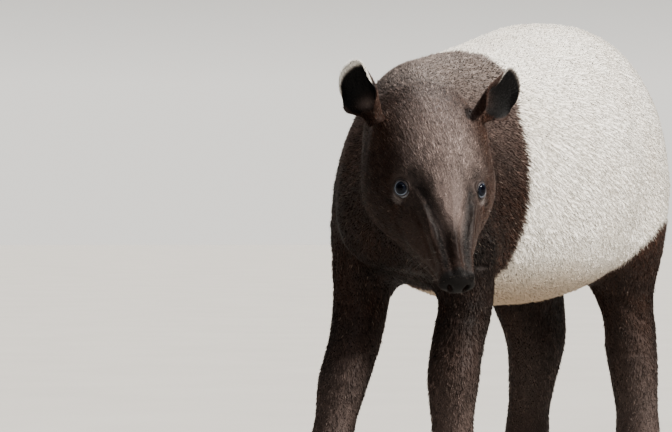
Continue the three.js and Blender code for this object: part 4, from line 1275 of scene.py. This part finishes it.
def growWhiskers():
    curve = bpy.data.curves.new("whiskers", "CURVE")
    curve.dimensions = "3D"
    curve.bevel_depth = whiskers["thick"]
    curve.bevel_resolution = 1
    curve.use_fill_caps = True
    points, normals = pointsOf(body), normalsOf(body)
    q = onHead(points) * 1000
    mirrored = q * (1, 0, 1) + np.abs(q) * (0, 1, 0)
    lie = lieOfCoat(points, normals)
    for low, high, count, length in whiskerZones.values():
        inside = np.flatnonzero(np.all((mirrored > low) & (mirrored < high), axis=1))
        for i in rng.choice(inside, count, replace=False):
            way = unit(0.8 * normals[i] + 0.7 * lie[i] + rng.normal(0, 0.12, 3))
            addHair(curve, points[i], way, rng.uniform(*length) / 1000, rng.uniform(0.1, 0.5))
    count = whiskers["lashes"]
    for side, middle in eyeMiddle.items():
        look, across, up = eyeAxes(side)
        for turn in np.radians(np.linspace(24, 156, count) + rng.normal(0, 2, count)):      # on the upper lid
            s, t = 1.06 * eye["halfLength"] * math.cos(turn), 1.06 * eye["halfHeight"] * math.sin(turn)
            out = math.sqrt((eye["radius"] + 0.001) ** 2 - s * s - t * t)
            root = middle + across * s + up * t + look * out
            way = unit(look + up * 0.45 + across * (30 * s) + rng.normal(0, 0.08, 3))
            addHair(curve, root, way, rng.uniform(0.0035, 0.006), 0.35)
        d = points - middle
        s, t = d @ across, d @ up
        brow = (np.abs(s) < 0.018) & (t > 0.017) & (t < 0.030) & (d @ look > 0.0)
        for i in rng.choice(np.flatnonzero(brow), whiskers["brows"], replace=False):
            way = unit(0.9 * normals[i] + 0.6 * up + rng.normal(0, 0.15, 3))
            addHair(curve, points[i], way, rng.uniform(0.008, 0.015), 0.25)
    only(newPiece("whiskers", curve))
    bpy.ops.object.convert(target="MESH")
    piece = bpy.context.object
    smoothed(piece, "whisker")
    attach(piece, "root")
    print("whiskers,", len(piece.data.polygons), "faces")


growWhiskers()


# Stage, light and camera

view = {
    "azimuth": math.radians(27.97),  # the camera stands ahead of the animal, towards its left
    "distance": 5.5, "sideways": -0.114, "height": 0.48,
    "lens": 178.4, "shift": -16 / 672,
}
floorLook = {
    "radius": 30, "below": 0.0005, "rough": 0.85,
    "tones": ((0.39, 0.373, 0.345, 1), (0.42, 0.402, 0.372, 1)),
}
room = {    # a pale wall low down all round and a dim room above it, so that the shadows stay deep
    "wallTop": (0.035, 0.13), "wall": (1.38, 1.33, 1.24, 1), "above": (0.05, 0.05, 0.055, 1),
}
lamps = {   # place, how wide the lamp looks from the animal in degrees, strength, colour
    "keyLight": ((8.6, 0.6, 7.2), 10, 13.5, (1.0, 0.96, 0.90)),
    "topLight": ((-1.0, 6.0, 8.4), 28, 2.4, (1.0, 0.98, 0.95)),
    "eyeLight": ((2.0, -7.8, 5.9), 5, 0.8, (0.95, 0.97, 1.0)),
}


def makeStage():
    floor = added(bpy.ops.mesh.primitive_circle_add, "paleFloor", vertices=96, radius=floorLook["radius"],
                  fill_type="NGON", location=(0, 0, -floorLook["below"]))
    material, tree, shader = newMaterial("paleFloor")
    tone = noise(tree, objectPlace(tree), 3.0, 3.0)
    colour = mixed(tree, ranged(tree, tone, 0.3, 0.7), *floorLook["tones"])
    tree.links.new(colour, shader.inputs["Base Color"])
    shader.inputs["Roughness"].default_value = floorLook["rough"]
    floor.data.materials.append(material)


def makeRoom():
    world = bpy.data.worlds.new("studio")
    world.use_nodes = True
    tree = world.node_tree
    direction = addNode(tree, "ShaderNodeTexCoord").outputs["Generated"]
    height = addNode(tree, "ShaderNodeSeparateXYZ", {0: direction}).outputs[2]
    colour = mixed(tree, ranged(tree, height, *room["wallTop"]), room["wall"], room["above"])
    tree.links.new(colour, tree.nodes["Background"].inputs[0])
    bpy.context.scene.world = world


def makeLamp(name, place, spread, strength, colour):
    # Far off, so that the floor is lit evenly
    lamp = bpy.data.lights.new(name, "SUN")
    lamp.angle = math.radians(spread)
    lamp.energy = strength
    lamp.color = colour
    holder = newPiece(name, lamp)
    holder.location = place
    holder.rotation_euler = (-Vector(place)).to_track_quat("-Z", "Y").to_euler()


def makeCamera():
    a = view["azimuth"]
    toCamera = np.array([math.sin(a), -math.cos(a), 0])
    toRight = np.array([math.cos(a), math.sin(a), 0])
    camera = newPiece("camera", bpy.data.cameras.new("camera"))
    place = bodyStart + toCamera * view["distance"] + toRight * view["sideways"]
    camera.location = (place[0], place[1], view["height"])
    camera.rotation_euler = (math.pi / 2, 0, a)
    camera.data.lens = view["lens"]
    camera.data.shift_y = view["shift"]
    bpy.context.scene.camera = camera


makeStage()
makeRoom()
for name, settings in lamps.items():
    makeLamp(name, *settings)
makeCamera()
print("stage lit")
